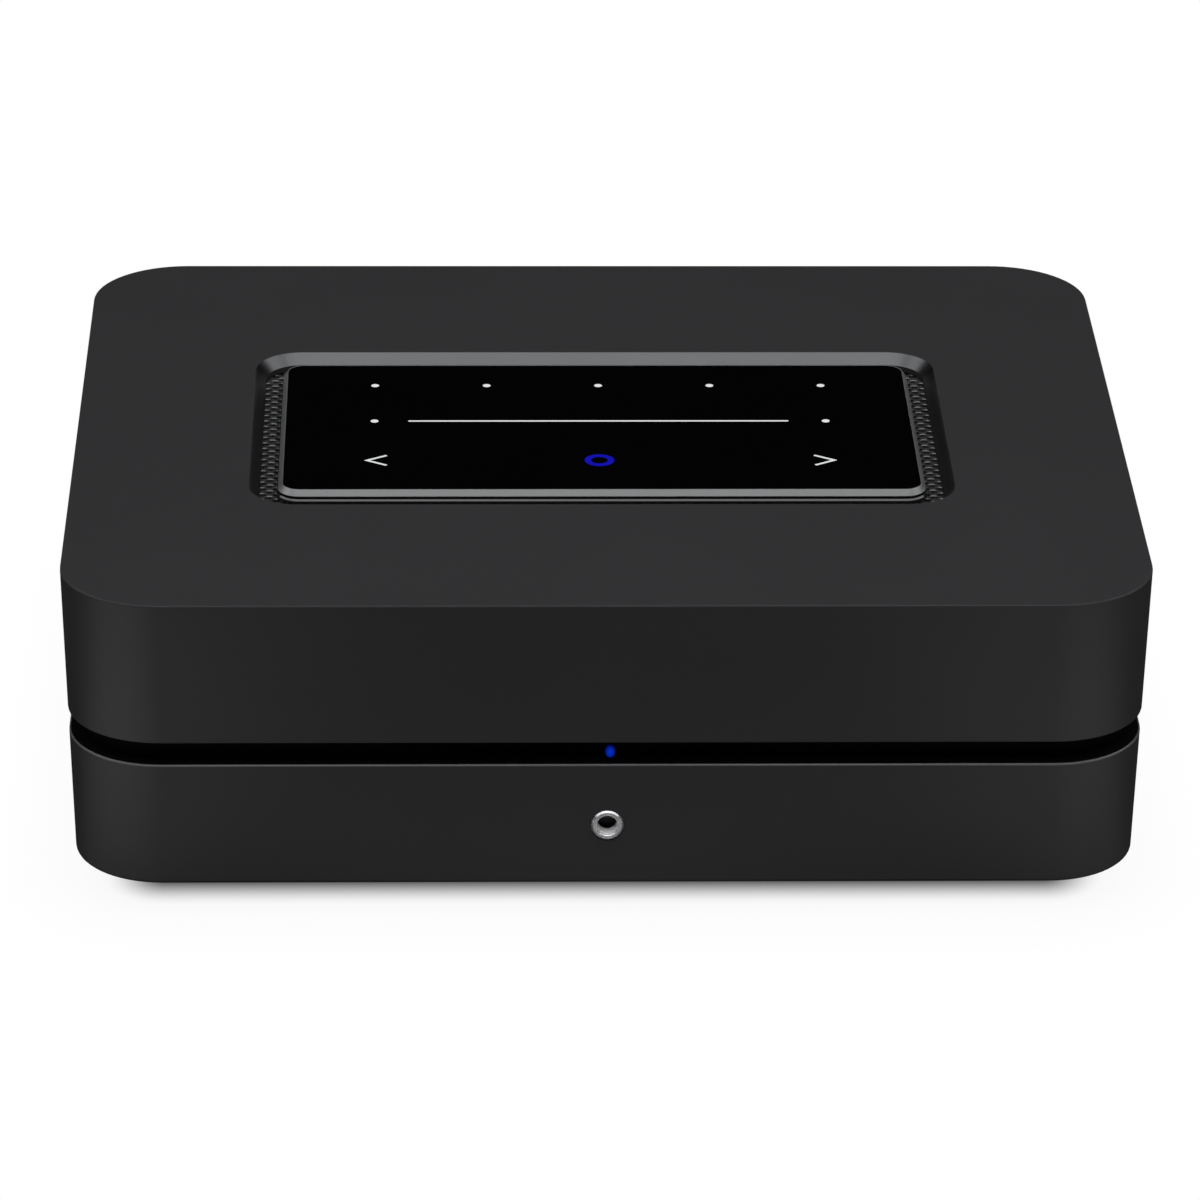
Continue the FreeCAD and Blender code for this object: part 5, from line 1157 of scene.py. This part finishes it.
class STREAMER_OT_headphone_ring(bpy.types.Operator):
    """Builds the stepped bright ring round the headphone socket"""
    bl_idname = "streamer.headphone_ring"
    bl_label = "Headphone ring"

    def execute(self, context):
        sockets = context.scene.streamer_sockets
        low, high = corners("headphone_ring")
        r, z = sockets.ring, sockets.phones_z
        face, back = low[1] - sockets.ring_stand, high[1]
        lip, inside = sockets.bore + 0.50 * MM, sockets.bore + 0.28 * MM
        outer, root = 2.9 * MM, 2.6 * MM
        # From the bevel's foot over the narrow land, the groove and the lip into the hole.
        path = [(r, 0.80), (r, 0.68), (r - 0.54 * MM, 0), (r - 0.60 * MM, 0), (r - 0.68 * MM, 0.2),
                (lip + 0.22 * MM, 0.2), (lip + 0.14 * MM, 0), (lip, 0), (inside, 0.30),
                (root, 0.30)]
        path = [(radius, face + depth * MM) for radius, depth in path]
        path += [(root, back), (outer, back), (outer, face + 0.8 * MM)]
        eases = np.array([0, 0.12, 0.10, 0.04, 0.04, 0.04, 0.04, 0.05, 0.03, 0, 0, 0, 0]) * MM
        bead = ring_bar(path, (0, z), ease=eases, steps=96)
        # The sleeve's near-white finish is a painted highlight inside the ring.
        start = face + 0.30 * MM
        sleeve = [(inside, start), (root, start), (root, back), (inside - 0.13 * MM, back)]
        ring = mesh_object("phones_ring", [bead, ring_bar(sleeve, (0, z), finish=1)])
        finished(ring, ["ring_metal", "sleeve_painted_highlight"], stands_for=["headphone_ring"])
        return {"FINISHED"}


class STREAMER_OT_feet(bpy.types.Operator):
    """Builds the four turned rubber feet"""
    bl_idname = "streamer.feet"
    bl_label = "Feet"

    def execute(self, context):
        low, high = corners("rubber_feet")
        middle, half = (low + high) / 2, (high - low) / 2
        r, stem, hollow, deep = 9.0 * MM, 2.0 * MM, 3.15 * MM, 1.2 * MM
        sole = r - 1.2 * MM
        groove = sole - 1.9 * MM
        path = [
            (0.8 * MM, deep), (hollow, deep), (hollow, 0), (groove - 0.3 * MM, 0),
            (groove, 0.35 * MM), (groove + 0.3 * MM, 0), (sole, 0), (r, Z_BASE),
            (stem, Z_BASE), (stem, high[2]), (stem * 0.4, high[2]),
        ]
        eases = np.array([0.2, 0.3, 0.1, 0.1, 0.1, 0.8, 0.25, 0.2, 0.4]) * MM
        rings = eased(path, eases)
        ways = [(sx, sy) for sx in (-1, 1) for sy in (-1, 1)]
        parts = [skin(turned(rings, middle[:2] + (half[:2] - r) * way)) for way in ways]
        feet = mesh_object("turned_feet", parts)
        finished(feet, ["rubber"], stands_for=["rubber_feet"])
        return {"FINISHED"}


class STREAMER_OT_base(bpy.types.Operator):
    """Builds the slotted base plate with eased edges and its screws, from the CAD shapes"""
    bl_idname = "streamer.base"
    bl_label = "Base plate and screws"

    def execute(self, context):
        merged_copy("base_plate", "slotted_plate", 0.12 * MM)
        merged_copy("base_screws", "plate_screw_heads")
        merged_copy("case_screws", "case_screw_heads")
        return {"FINISHED"}


class STREAMER_OT_rear_panel(bpy.types.Operator):
    """Builds the sheet steel rear panel, from the CAD shape with eased edges"""
    bl_idname = "streamer.rear_panel"
    bl_label = "Rear panel"

    def execute(self, context):
        merged_copy("rear_panel", "rear_sheet", 0.15 * MM)
        return {"FINISHED"}


def hollow_block(low, high, hole_low, hole_high, depth, ease):
    """A block along Y with a rectangular hole in its rear face: its side, its face and the hole
    carried round two rounded rectangles."""
    low, high = np.asarray(low), np.asarray(high)
    hole_low, hole_high = np.asarray(hole_low), np.asarray(hole_high)
    half, hole_half = (high - low)[[0, 2]] / 2, (hole_high - hole_low) / 2
    start, end = low[1], high[1]
    outside = [(ease * 0.5, start), (ease, start), (ease, end), (ease * 0.2, end)]
    inner = min(ease, 0.3 * MM)
    inside = [(inner, end), (inner, end - depth)]
    return skin(np.vstack([
        carried(half - ease, (low + high)[[0, 2]] / 2, eased(outside, ease * 0.3)[:-1], "y"),
        carried(hole_half - inner, (hole_low + hole_high) / 2, inside, "y"),
    ]))


def spring(path, x, width, thickness):
    """A flat contact spring: a rectangle carried along a path of (y, z) points."""
    p = np.asarray(path, float)
    along = np.gradient(p, axis=0)
    along /= np.linalg.norm(along, axis=1, keepdims=True)
    out = np.stack([-along[:, 1], along[:, 0]], -1) * thickness / 2
    left, right = x - width / 2, x + width / 2
    sides = ((left, p + out), (right, p + out), (right, p - out), (left, p - out))
    return skin(np.stack([np.insert(edge, 0, at, axis=1) for at, edge in sides], 1))


class STREAMER_OT_square_sockets(bpy.types.Operator):
    """Builds the network, USB and HDMI sockets with their contacts"""
    bl_idname = "streamer.square_sockets"
    bl_label = "Square sockets"

    def execute(self, context):
        sheet = context.scene.streamer_sockets.sheet
        low, high = corners("lan_socket")
        x, end = (low[0] + high[0]) / 2, high[1]
        hole_low = (x - 5.9 * MM, low[2] + 2.4 * MM)
        hole_high = (x + 5.9 * MM, low[2] + 10.6 * MM)
        shell = hollow_block(low, high, hole_low, hole_high, 13 * MM, 0.5 * MM)
        lan = mesh_object("network_socket", [shell])
        latch_low = (x - 3 * MM, end - 10 * MM, hole_high[1] - 0.2 * MM)
        latch_high = (x + 3 * MM, end + 1 * MM, hole_high[1] + 1.4 * MM)
        cut(lan, [block(latch_low, latch_high, 0.05 * MM)])
        path = np.array([(-11.5, 0.6), (-8.0, 0.8), (-4.5, 2.2), (-2.5, 3.0)]) * MM
        path += (end, hole_low[1])
        pins = [spring(path, x + k * 1.02 * MM, 0.45 * MM, 0.25 * MM) for k in np.arange(8) - 3.5]
        finished(lan, ["nickel"], stands_for=["lan_socket"])
        finished(mesh_object("network_contacts", pins), ["gold_plate"])
        tongue_end = corners("socket_tongues")[1][1] - 0.4 * MM
        pads = []
        # Node, name, number of contacts, then their pitch, the corner radius and how far the
        # contacts lie below the shell's middle, all in millimetres.
        for node, name, count, pitch, corner, drop in (
            ("usb_socket", "usb_shell", 4, 2.5, 0.5, 0.2),
            ("hdmi_socket", "hdmi_shell", 9, 1.0, 1.3, 0.8),
        ):
            low, high = corners(node)
            low[2] += 1.2 * MM
            middle = (low + high) / 2
            depth = high[1] - low[1] - 2 * sheet
            hole_low, hole_high = (low + sheet)[[0, 2]], (high - sheet)[[0, 2]]
            shell = hollow_block(low, high, hole_low, hole_high, depth, corner * MM)
            finished(mesh_object(name, [shell]), ["nickel"], stands_for=[node])
            z = middle[2] - drop * MM
            path = [(high[1] - 10 * MM, z), (tongue_end, z)]
            for k in np.arange(count) - (count - 1) / 2:
                pads.append(spring(path, middle[0] + k * pitch * MM, 0.4 * pitch * MM, 0.16 * MM))
        finished(mesh_object("tongue_contacts", pads), ["gold_plate"])
        merged_copy("socket_tongues", "contact_tongues", 0.15 * MM)
        return {"FINISHED"}


def socket_core(name, node, path, eases, centre, body_low, body_high, ease):
    """A black socket: a turned nose with its hole, and the block behind it."""
    nose = skin(turned(eased(path, eases), centre, "y"))
    piece = mesh_object(name, [nose, block(body_low, body_high, ease)])
    finished(piece, ["black_plastic"], stands_for=[node])


class STREAMER_OT_round_sockets(bpy.types.Operator):
    """Builds the two 3.5 mm sockets, the headphone jack and the phono socket"""
    bl_idname = "streamer.round_sockets"
    bl_label = "Round sockets"

    def execute(self, context):
        sockets = context.scene.streamer_sockets
        bore, nose = sockets.bore, 3.0 * MM
        names = {"combo_input_socket": "combo_jack", "infrared_socket": "infrared_jack"}
        for node, name in names.items():
            low, high = corners(node)
            x, end, z = (low[0] + high[0]) / 2, high[1], (low[2] + high[2]) / 2
            face = end - 2.6 * MM
            start = face - 1 * MM
            path = [(nose * 0.5, start), (nose, start), (nose, end), (bore, end),
                    (bore, end - 12 * MM)]
            socket_core(name, node, path, (0, 0.35 * MM, 0.25 * MM), (x, z),
                        low, (high[0], face, high[2]), 0.3 * MM)
        low, high = corners("subwoofer_socket")
        x, z, r = (low[0] + high[0]) / 2, (low[2] + high[2]) / 2, (high[0] - low[0]) / 2
        y0, y1 = low[1], high[1]
        bore, root, seat = 3.4 * MM, 3.85 * MM, REAR_HIGH[1]
        groove = r - 0.25 * MM
        outline = [
            (bore, y0), (root, y0), (root, seat), (r, seat), (r, y1 - 2.6 * MM),
            (groove, y1 - 2.3 * MM), (groove, y1 - 1.9 * MM), (r, y1 - 1.6 * MM), (r, y1),
            (bore, y1),
        ]
        eases = np.array([0, 0, 0, 0.1, 0.1, 0.1, 0.1, 0.1, 0.3, 0.2]) * MM
        shell = mesh_object("phono_shell", [ring_bar(outline, (x, z), ease=eases)])
        finished(shell, ["gold_plate"], stands_for=["subwoofer_socket"])
        low, high = corners("subwoofer_insulator")
        start, end, hole = y0 - 1 * MM, high[1], 1.65 * MM
        path = [(bore * 0.5, start), (bore, start), (bore, end), (hole, end), (hole, y0 + 1 * MM)]
        socket_core("phono_core", "subwoofer_insulator", path, (0, 0.3 * MM, 0.4 * MM), (x, z),
                    low, (high[0], y0 - 0.5 * MM, high[2]), 0.4 * MM)
        low, high = corners("headphone_jack")
        face = corners("headphone_ring")[1][1] + 0.05 * MM
        start, nose, bore = face + 2 * MM, 2.4 * MM, sockets.bore + 0.14 * MM
        path = [(bore + 0.2 * MM, start), (nose, start), (nose, face), (bore, face),
                (bore, high[1] - 1.5 * MM)]
        socket_core("headphone_jack_body", "headphone_jack", path, (0, 0.1 * MM, 0.05 * MM),
                    (0, sockets.phones_z), (low[0], face + 1.2 * MM, low[2]), high, 0.3 * MM)
        return {"FINISHED"}


class STREAMER_OT_mains_inlet(bpy.types.Operator):
    """Builds the mains inlet with eased edges and its pins, from the CAD shapes"""
    bl_idname = "streamer.mains_inlet"
    bl_label = "Mains inlet"

    def execute(self, context):
        merged_copy("mains_inlet", "mains_inlet_body", 0.3 * MM)
        merged_copy("mains_pins", "mains_inlet_pins")
        return {"FINISHED"}


def cap_profile(low, high, bore, mouth):
    """A speaker cap's outline of (radius, y) points, and how deep its flutes are at each: they run
    out smoothly at both ends of the side."""
    r = (high[0] - low[0]) / 2
    y0, y1 = low[1], high[1]
    floor = y1 - 0.8 * MM
    first = [(bore, y0 + 0.6 * MM), (bore, y0), (r, y0), (r, y0 + 1.5 * MM)]
    first = eased(first, (0.15 * MM, 0.5 * MM))
    last = [(r, y1 - 1.0 * MM), (r, y1), (mouth, y1), (mouth, floor), (bore, floor)]
    last = eased(last, (0.5 * MM, 0.3 * MM, 0.1 * MM))
    flute = np.linspace(y0 + 1.6 * MM, y1 - 1.1 * MM, 26)
    middle = np.stack([np.full(len(flute), r), flute], 1)
    fade = 0.7 * MM
    rise = np.clip((flute - flute[0]) / fade, 0, 1) * np.clip((flute[-1] - flute) / fade, 0, 1)
    depth = rise * rise * (3 - 2 * rise)
    profile = np.vstack([first, middle, last])
    return profile, np.concatenate([np.zeros(len(first)), depth, np.zeros(len(last))])


def flute_notch(radius, cutter, flutes):
    """A function that gives how deep round cutters bite into a bar at an angle. The cutters stand
    evenly round the bar, each a little outside its side."""
    reach = radius + cutter * 0.35
    step = 2 * np.pi / flutes

    def notch(angle):
        off = np.abs((angle + step / 2) % step - step / 2)
        chord = np.maximum(cutter ** 2 - (reach * np.sin(off)) ** 2, 0)
        depth = radius - (reach * np.cos(off) - np.sqrt(chord))
        return np.where(chord > 0, np.maximum(depth, 0), 0)

    return notch


class STREAMER_OT_speaker_posts(bpy.types.Operator):
    """Builds the collars, studs, sliding washers and fluted caps of the speaker posts"""
    bl_idname = "streamer.speaker_posts"
    bl_label = "Speaker posts"

    def execute(self, context):
        sockets = context.scene.streamer_sockets
        base_low, base_high = corners("post_bases")
        run, collar, shoulder = sockets.stud + JOIN, 6.5 * MM, 4.5 * MM
        start, seat, end = base_low[1], REAR_HIGH[1], base_high[1]
        base = [(run, start), (shoulder, start), (shoulder, seat), (collar, seat), (collar, end),
                (run, end)]
        base_eases = np.array([0, 0, 0, 0.2, 0.6, 0.2]) * MM
        collars = []
        for i in POSTS:
            low, high = corners(f"speaker_cap_{i}")
            x, z, r = (low[0] + high[0]) / 2, (low[2] + high[2]) / 2, (high[0] - low[0]) / 2
            collars.append(ring_bar(base, (x, z), ease=base_eases))
            profile, depth = cap_profile(low, high, run, 2.3 * MM)
            notch = flute_notch(r, sockets.flute, sockets.flutes)
            grid = turned(profile, (x, z), "y", sockets.flutes * 16, depth, notch)
            cap = mesh_object(f"fluted_cap_{i}", [skin(grid, loop=True)])
            slot = "red_cap" if i % 2 else "black_cap"
            finished(cap, [slot], f"cap_{i}", [f"speaker_cap_{i}"])
            low, high = corners(f"clamp_washer_{i}")
            r = (high[0] - low[0]) / 2
            outline = [(run, low[1]), (r, low[1]), (r, high[1]), (run, high[1])]
            ring = ring_bar(outline, (x, z), ease=0.2 * MM)
            washer = mesh_object(f"sliding_washer_{i}", [ring])
            finished(washer, ["gold_plate"], f"washer_{i}", [f"clamp_washer_{i}"])
        piece = mesh_object("post_collars", collars)
        finished(piece, ["black_plastic"], stands_for=["post_bases"])
        merged_copy("post_studs", "threaded_studs", 0.1 * MM, "gold_thread")
        return {"FINISHED"}


class STREAMER_OT_inner_parts(bpy.types.Operator):
    """Gives every CAD part that still shows the finish of its slot"""
    bl_idname = "streamer.inner_parts"
    bl_label = "Inner parts"

    def execute(self, context):
        for name, node in NODES.items():
            slot = SLOT_OF.get(name)
            if slot not in bpy.data.materials:
                raise RuntimeError(f"no finish for the slot {slot} of {name}")
            for place in node.material_slots:
                place.material = bpy.data.materials[slot]
        return {"FINISHED"}


class STREAMER_OT_finishes(bpy.types.Operator):
    """Makes the materials"""
    bl_idname = "streamer.finishes"
    bl_label = "Finishes"

    def execute(self, context):
        finish = context.scene.streamer_finish
        for old in list(bpy.data.materials):
            old.name = "packed_" + old.name
        satin_case_paint(finish)
        black_and_painted_shade()
        polished_well_edge(finish)
        anodised_frame(finish)
        touch_glass(finish)
        lit("white_light", tuple(finish.legend), finish.legend_glow)
        lit("blue_light", tuple(finish.blue), finish.blue_glow)
        lit_lens(finish, context.scene.streamer_waist)
        circuit_board()
        striped_finishes()
        shrunk_sleeve()
        plain_finishes()
        return {"FINISHED"}


# Stage

def camera_matrix(stage):
    """The camera's turn: it looks along f, which is straight back turned by yaw and tipped down by
    pitch, and then leans by roll."""
    yaw, pitch, roll = stage.yaw, stage.pitch, stage.roll
    flat = math.cos(pitch)
    f = np.array([math.sin(yaw) * flat, math.cos(yaw) * flat, -math.sin(pitch)])
    right = np.array([math.cos(yaw), -math.sin(yaw), 0.0])
    up = np.cross(right, f)
    leant_right = math.cos(roll) * right + math.sin(roll) * up
    leant_up = math.cos(roll) * up - math.sin(roll) * right
    turn = Matrix(np.stack([leant_right, leant_up, -f], 1).tolist())
    return Matrix.Translation(stage.place) @ turn.to_4x4()


def lamp(name, azimuth, elevation, width, height, power):
    """An area lamp that faces the case. Azimuth 0 is straight before it and 90 is to its right."""
    light = bpy.data.lights.new(name, "AREA")
    light.shape = "RECTANGLE"
    light.size, light.size_y = width, height
    light.energy = power
    obj = bpy.data.objects.new(name, light)
    bpy.context.scene.collection.objects.link(obj)
    a, e = math.radians(azimuth), math.radians(elevation)
    flat = LAMP_DISTANCE * math.cos(e)
    rise = AIM_HEIGHT + LAMP_DISTANCE * math.sin(e)
    place = Vector((flat * math.sin(a), CASE_Y - flat * math.cos(a), rise))
    turn = (Vector((0.0, 0.0, AIM_HEIGHT)) - place).to_track_quat("-Z", "Y")
    obj.matrix_world = Matrix.Translation(place) @ turn.to_matrix().to_4x4()
    obj.visible_camera = False
    return obj


def mixed(material, share, first, second):
    """A shader that goes from first to second with the share."""
    node = add_node(material, "ShaderNodeMixShader", {0: share, 1: first, 2: second})
    return node.outputs["Shader"]


def paper(material, level):
    """A diffuse paper of a grey level."""
    colour = (level, level, level, 1.0)
    return add_node(material, "ShaderNodeBsdfDiffuse", {"Color": colour}).outputs["BSDF"]


def glow(material, strength):
    """An even white glow."""
    return add_node(material, "ShaderNodeEmission", {"Strength": strength}).outputs["Emission"]


def card(material, place, centre, reach, strength, stretch=(1.0, 1.0, 1.0)):
    """A soft-edged light card on the floor: full in its middle and nothing at reach from its
    centre. It is wider along an axis where stretch is less."""
    flat = vector(material, "MULTIPLY", place, stretch)
    middle = tuple(a * b for a, b in zip(centre, stretch))
    off = vector(material, "DISTANCE", flat, middle)
    return ramp(material, off, 0.3 * reach, reach, strength, 0.0, "SMOOTHSTEP")


def paper_floor(stage, case):
    """White paper. Diffuse rays see plain paper. What is seen is shaded under the case, and turns
    to an even white with the distance from the case's outline: the length of max(|p| - core, 0),
    less the corner. Mirrored rays see white paper further out, dark card near the case and light
    cards before its front and front corners."""
    material = bpy.data.materials.new("paper_floor")
    material.use_nodes = True
    material.node_tree.nodes.clear()
    path = add_node(material, "ShaderNodeLightPath")
    place = place_on_object(material)
    folded = vector(material, "ABSOLUTE", vector(material, "SUBTRACT", place, (0, CASE_Y, 0)))
    off = vector(material, "SUBTRACT", folded, (*case_core(case), 0))
    far = vector(material, "LENGTH", vector(material, "MAXIMUM", off))
    corner = side(case, Z_BASE)
    deep, mid = corner - stage.shade_deep, corner - stage.shade_mid
    end, share = corner + stage.shade_far, stage.shade_share
    white = number(
        material, "ADD",
        ramp(material, far, deep, mid, 0.0, 1.0 - share, "SMOOTHSTEP"),
        ramp(material, far, mid, end, 0.0, share, "SMOOTHSTEP"),
    )
    seen = mixed(material, white, paper(material, stage.paper), glow(material, SEEN_WHITE))
    cards = (
        card(material, place, (-0.175, -0.165, 0), 0.12, stage.left_card),
        card(material, place, (0.155, -0.175, 0), 0.12, stage.right_card),
        card(material, place, (-0.01, -0.13, 0), 0.05, stage.front_card, (0.4, 1.0, 1.0)),
    )
    level = ramp(material, far, 0.35, 0.80, stage.near_grey, SEEN_WHITE)
    for light in cards:
        level = number(material, "ADD", level, light)
    seen = mixed(material, path.outputs["Is Glossy Ray"], seen, glow(material, level))
    sent = paper(material, stage.bounce)
    front = mixed(material, path.outputs["Is Diffuse Ray"], seen, sent)
    clear = add_node(material, "ShaderNodeBsdfTransparent").outputs["BSDF"]
    facing = add_node(material, "ShaderNodeNewGeometry")
    both = mixed(material, facing.outputs["Backfacing"], front, clear)
    add_node(material, "ShaderNodeOutputMaterial", {"Surface": both})
    return material


def surroundings(stage):
    """White for the camera and low reflections, dim for reflections from above, and even for
    diffuse light."""
    world = bpy.data.worlds.new("Studio")
    world.use_nodes = True
    world.node_tree.nodes.clear()
    path = add_node(world, "ShaderNodeLightPath")
    way = add_node(world, "ShaderNodeTexCoord")
    parts = add_node(world, "ShaderNodeSeparateXYZ", {"Vector": way.outputs["Generated"]})
    low, high = math.sin(math.radians(-1)), math.sin(math.radians(3))
    mirrored = ramp(world, parts.outputs["Z"], low, high, SEEN_WHITE, stage.dim)
    sharp = number(
        world, "MAXIMUM", path.outputs["Is Glossy Ray"], path.outputs["Is Transmission Ray"]
    )
    level = add_node(world, "ShaderNodeMix", {0: sharp, 2: stage.sky, 3: mirrored})
    inputs = {0: path.outputs["Is Camera Ray"], 2: level.outputs[0], 3: SEEN_WHITE}
    level = add_node(world, "ShaderNodeMix", inputs)
    inputs = {"Color": (1.0, 1.0, 1.0, 1.0), "Strength": level.outputs[0]}
    light = add_node(world, "ShaderNodeBackground", inputs)
    add_node(world, "ShaderNodeOutputWorld", {"Surface": light.outputs["Background"]})
    return world


class STREAMER_OT_stage(bpy.types.Operator):
    """Builds the paper floor, the lamps, the surroundings and the camera"""
    bl_idname = "streamer.stage"
    bl_label = "Stage"

    def execute(self, context):
        scene = context.scene
        stage = scene.streamer_stage
        reach = 6.0
        outline = [(-reach, -reach, 0), (reach, -reach, 0), (reach, reach, 0), (-reach, reach, 0)]
        mesh = bpy.data.meshes.new("paper")
        mesh.from_pydata(outline, [], [(0, 1, 2, 3)])
        mesh.materials.append(paper_floor(stage, scene.streamer_case))
        floor = bpy.data.objects.new("paper", mesh)
        scene.collection.objects.link(floor)
        lamp("front_lamp", 0, 66, 1.7, 1.1, stage.front)
        lamp("left_lamp", -92, 42, 1.4, 0.95, stage.flank).visible_diffuse = False
        lamp("right_lamp", 92, 42, 1.4, 0.95, stage.flank).visible_diffuse = False
        lamp("rear_lamp", 180, 60, 1.7, 0.95, stage.rear)
        scene.world = surroundings(stage)
        camera = bpy.data.cameras.new("Camera")
        camera.lens = stage.lens
        camera.sensor_width = 36
        camera.clip_start, camera.clip_end = 0.01, 50
        eye = bpy.data.objects.new("Camera", camera)
        scene.collection.objects.link(eye)
        eye.matrix_world = camera_matrix(stage)
        scene.camera = eye
        scene.view_settings.view_transform = "Standard"
        return {"FINISHED"}


SETTINGS = {
    "streamer_case": CaseSettings,
    "streamer_waist": WaistSettings,
    "streamer_window": WindowSettings,
    "streamer_panel": PanelSettings,
    "streamer_legend": LegendSettings,
    "streamer_sockets": SocketSettings,
    "streamer_finish": FinishSettings,
    "streamer_stage": StageSettings,
}
STEPS = (
    STREAMER_OT_finishes,
    STREAMER_OT_inner_parts,
    STREAMER_OT_upper_cover,
    STREAMER_OT_lower_cover,
    STREAMER_OT_waist,
    STREAMER_OT_status_light,
    STREAMER_OT_vent,
    STREAMER_OT_touch_panel,
    STREAMER_OT_legends,
    STREAMER_OT_headphone_ring,
    STREAMER_OT_feet,
    STREAMER_OT_base,
    STREAMER_OT_rear_panel,
    STREAMER_OT_square_sockets,
    STREAMER_OT_round_sockets,
    STREAMER_OT_mains_inlet,
    STREAMER_OT_speaker_posts,
    STREAMER_OT_stage,
)


class STREAMER_PT_amplifier(bpy.types.Panel):
    """The steps and sizes of the amplifier"""
    bl_idname = "STREAMER_PT_amplifier"
    bl_label = "Streaming amplifier"
    bl_space_type = "VIEW_3D"
    bl_region_type = "UI"
    bl_category = "Amplifier"

    def draw(self, context):
        for step in STEPS:
            self.layout.operator(step.bl_idname)
        for name, group in SETTINGS.items():
            box = self.layout.box()
            settings = getattr(context.scene, name)
            for key in group.__annotations__:
                box.prop(settings, key)


def register():
    """Adds the settings, the steps and the panel to Blender."""
    for group in SETTINGS.values():
        bpy.utils.register_class(group)
    for name, group in SETTINGS.items():
        setattr(bpy.types.Scene, name, bpy.props.PointerProperty(type=group))
    for step in STEPS:
        bpy.utils.register_class(step)
    bpy.utils.register_class(STREAMER_PT_amplifier)


def unregister():
    """Takes the panel, the steps and the settings away again."""
    bpy.utils.unregister_class(STREAMER_PT_amplifier)
    for step in reversed(STEPS):
        bpy.utils.unregister_class(step)
    for name in SETTINGS:
        delattr(bpy.types.Scene, name)
    for group in reversed(SETTINGS.values()):
        bpy.utils.unregister_class(group)


def main():
    """Builds everything in order."""
    register()
    for step in STEPS:
        group, name = step.bl_idname.split(".")
        getattr(getattr(bpy.ops, group), name)()
    bpy.context.view_layer.update()


if __name__ == "__main__":
    main()
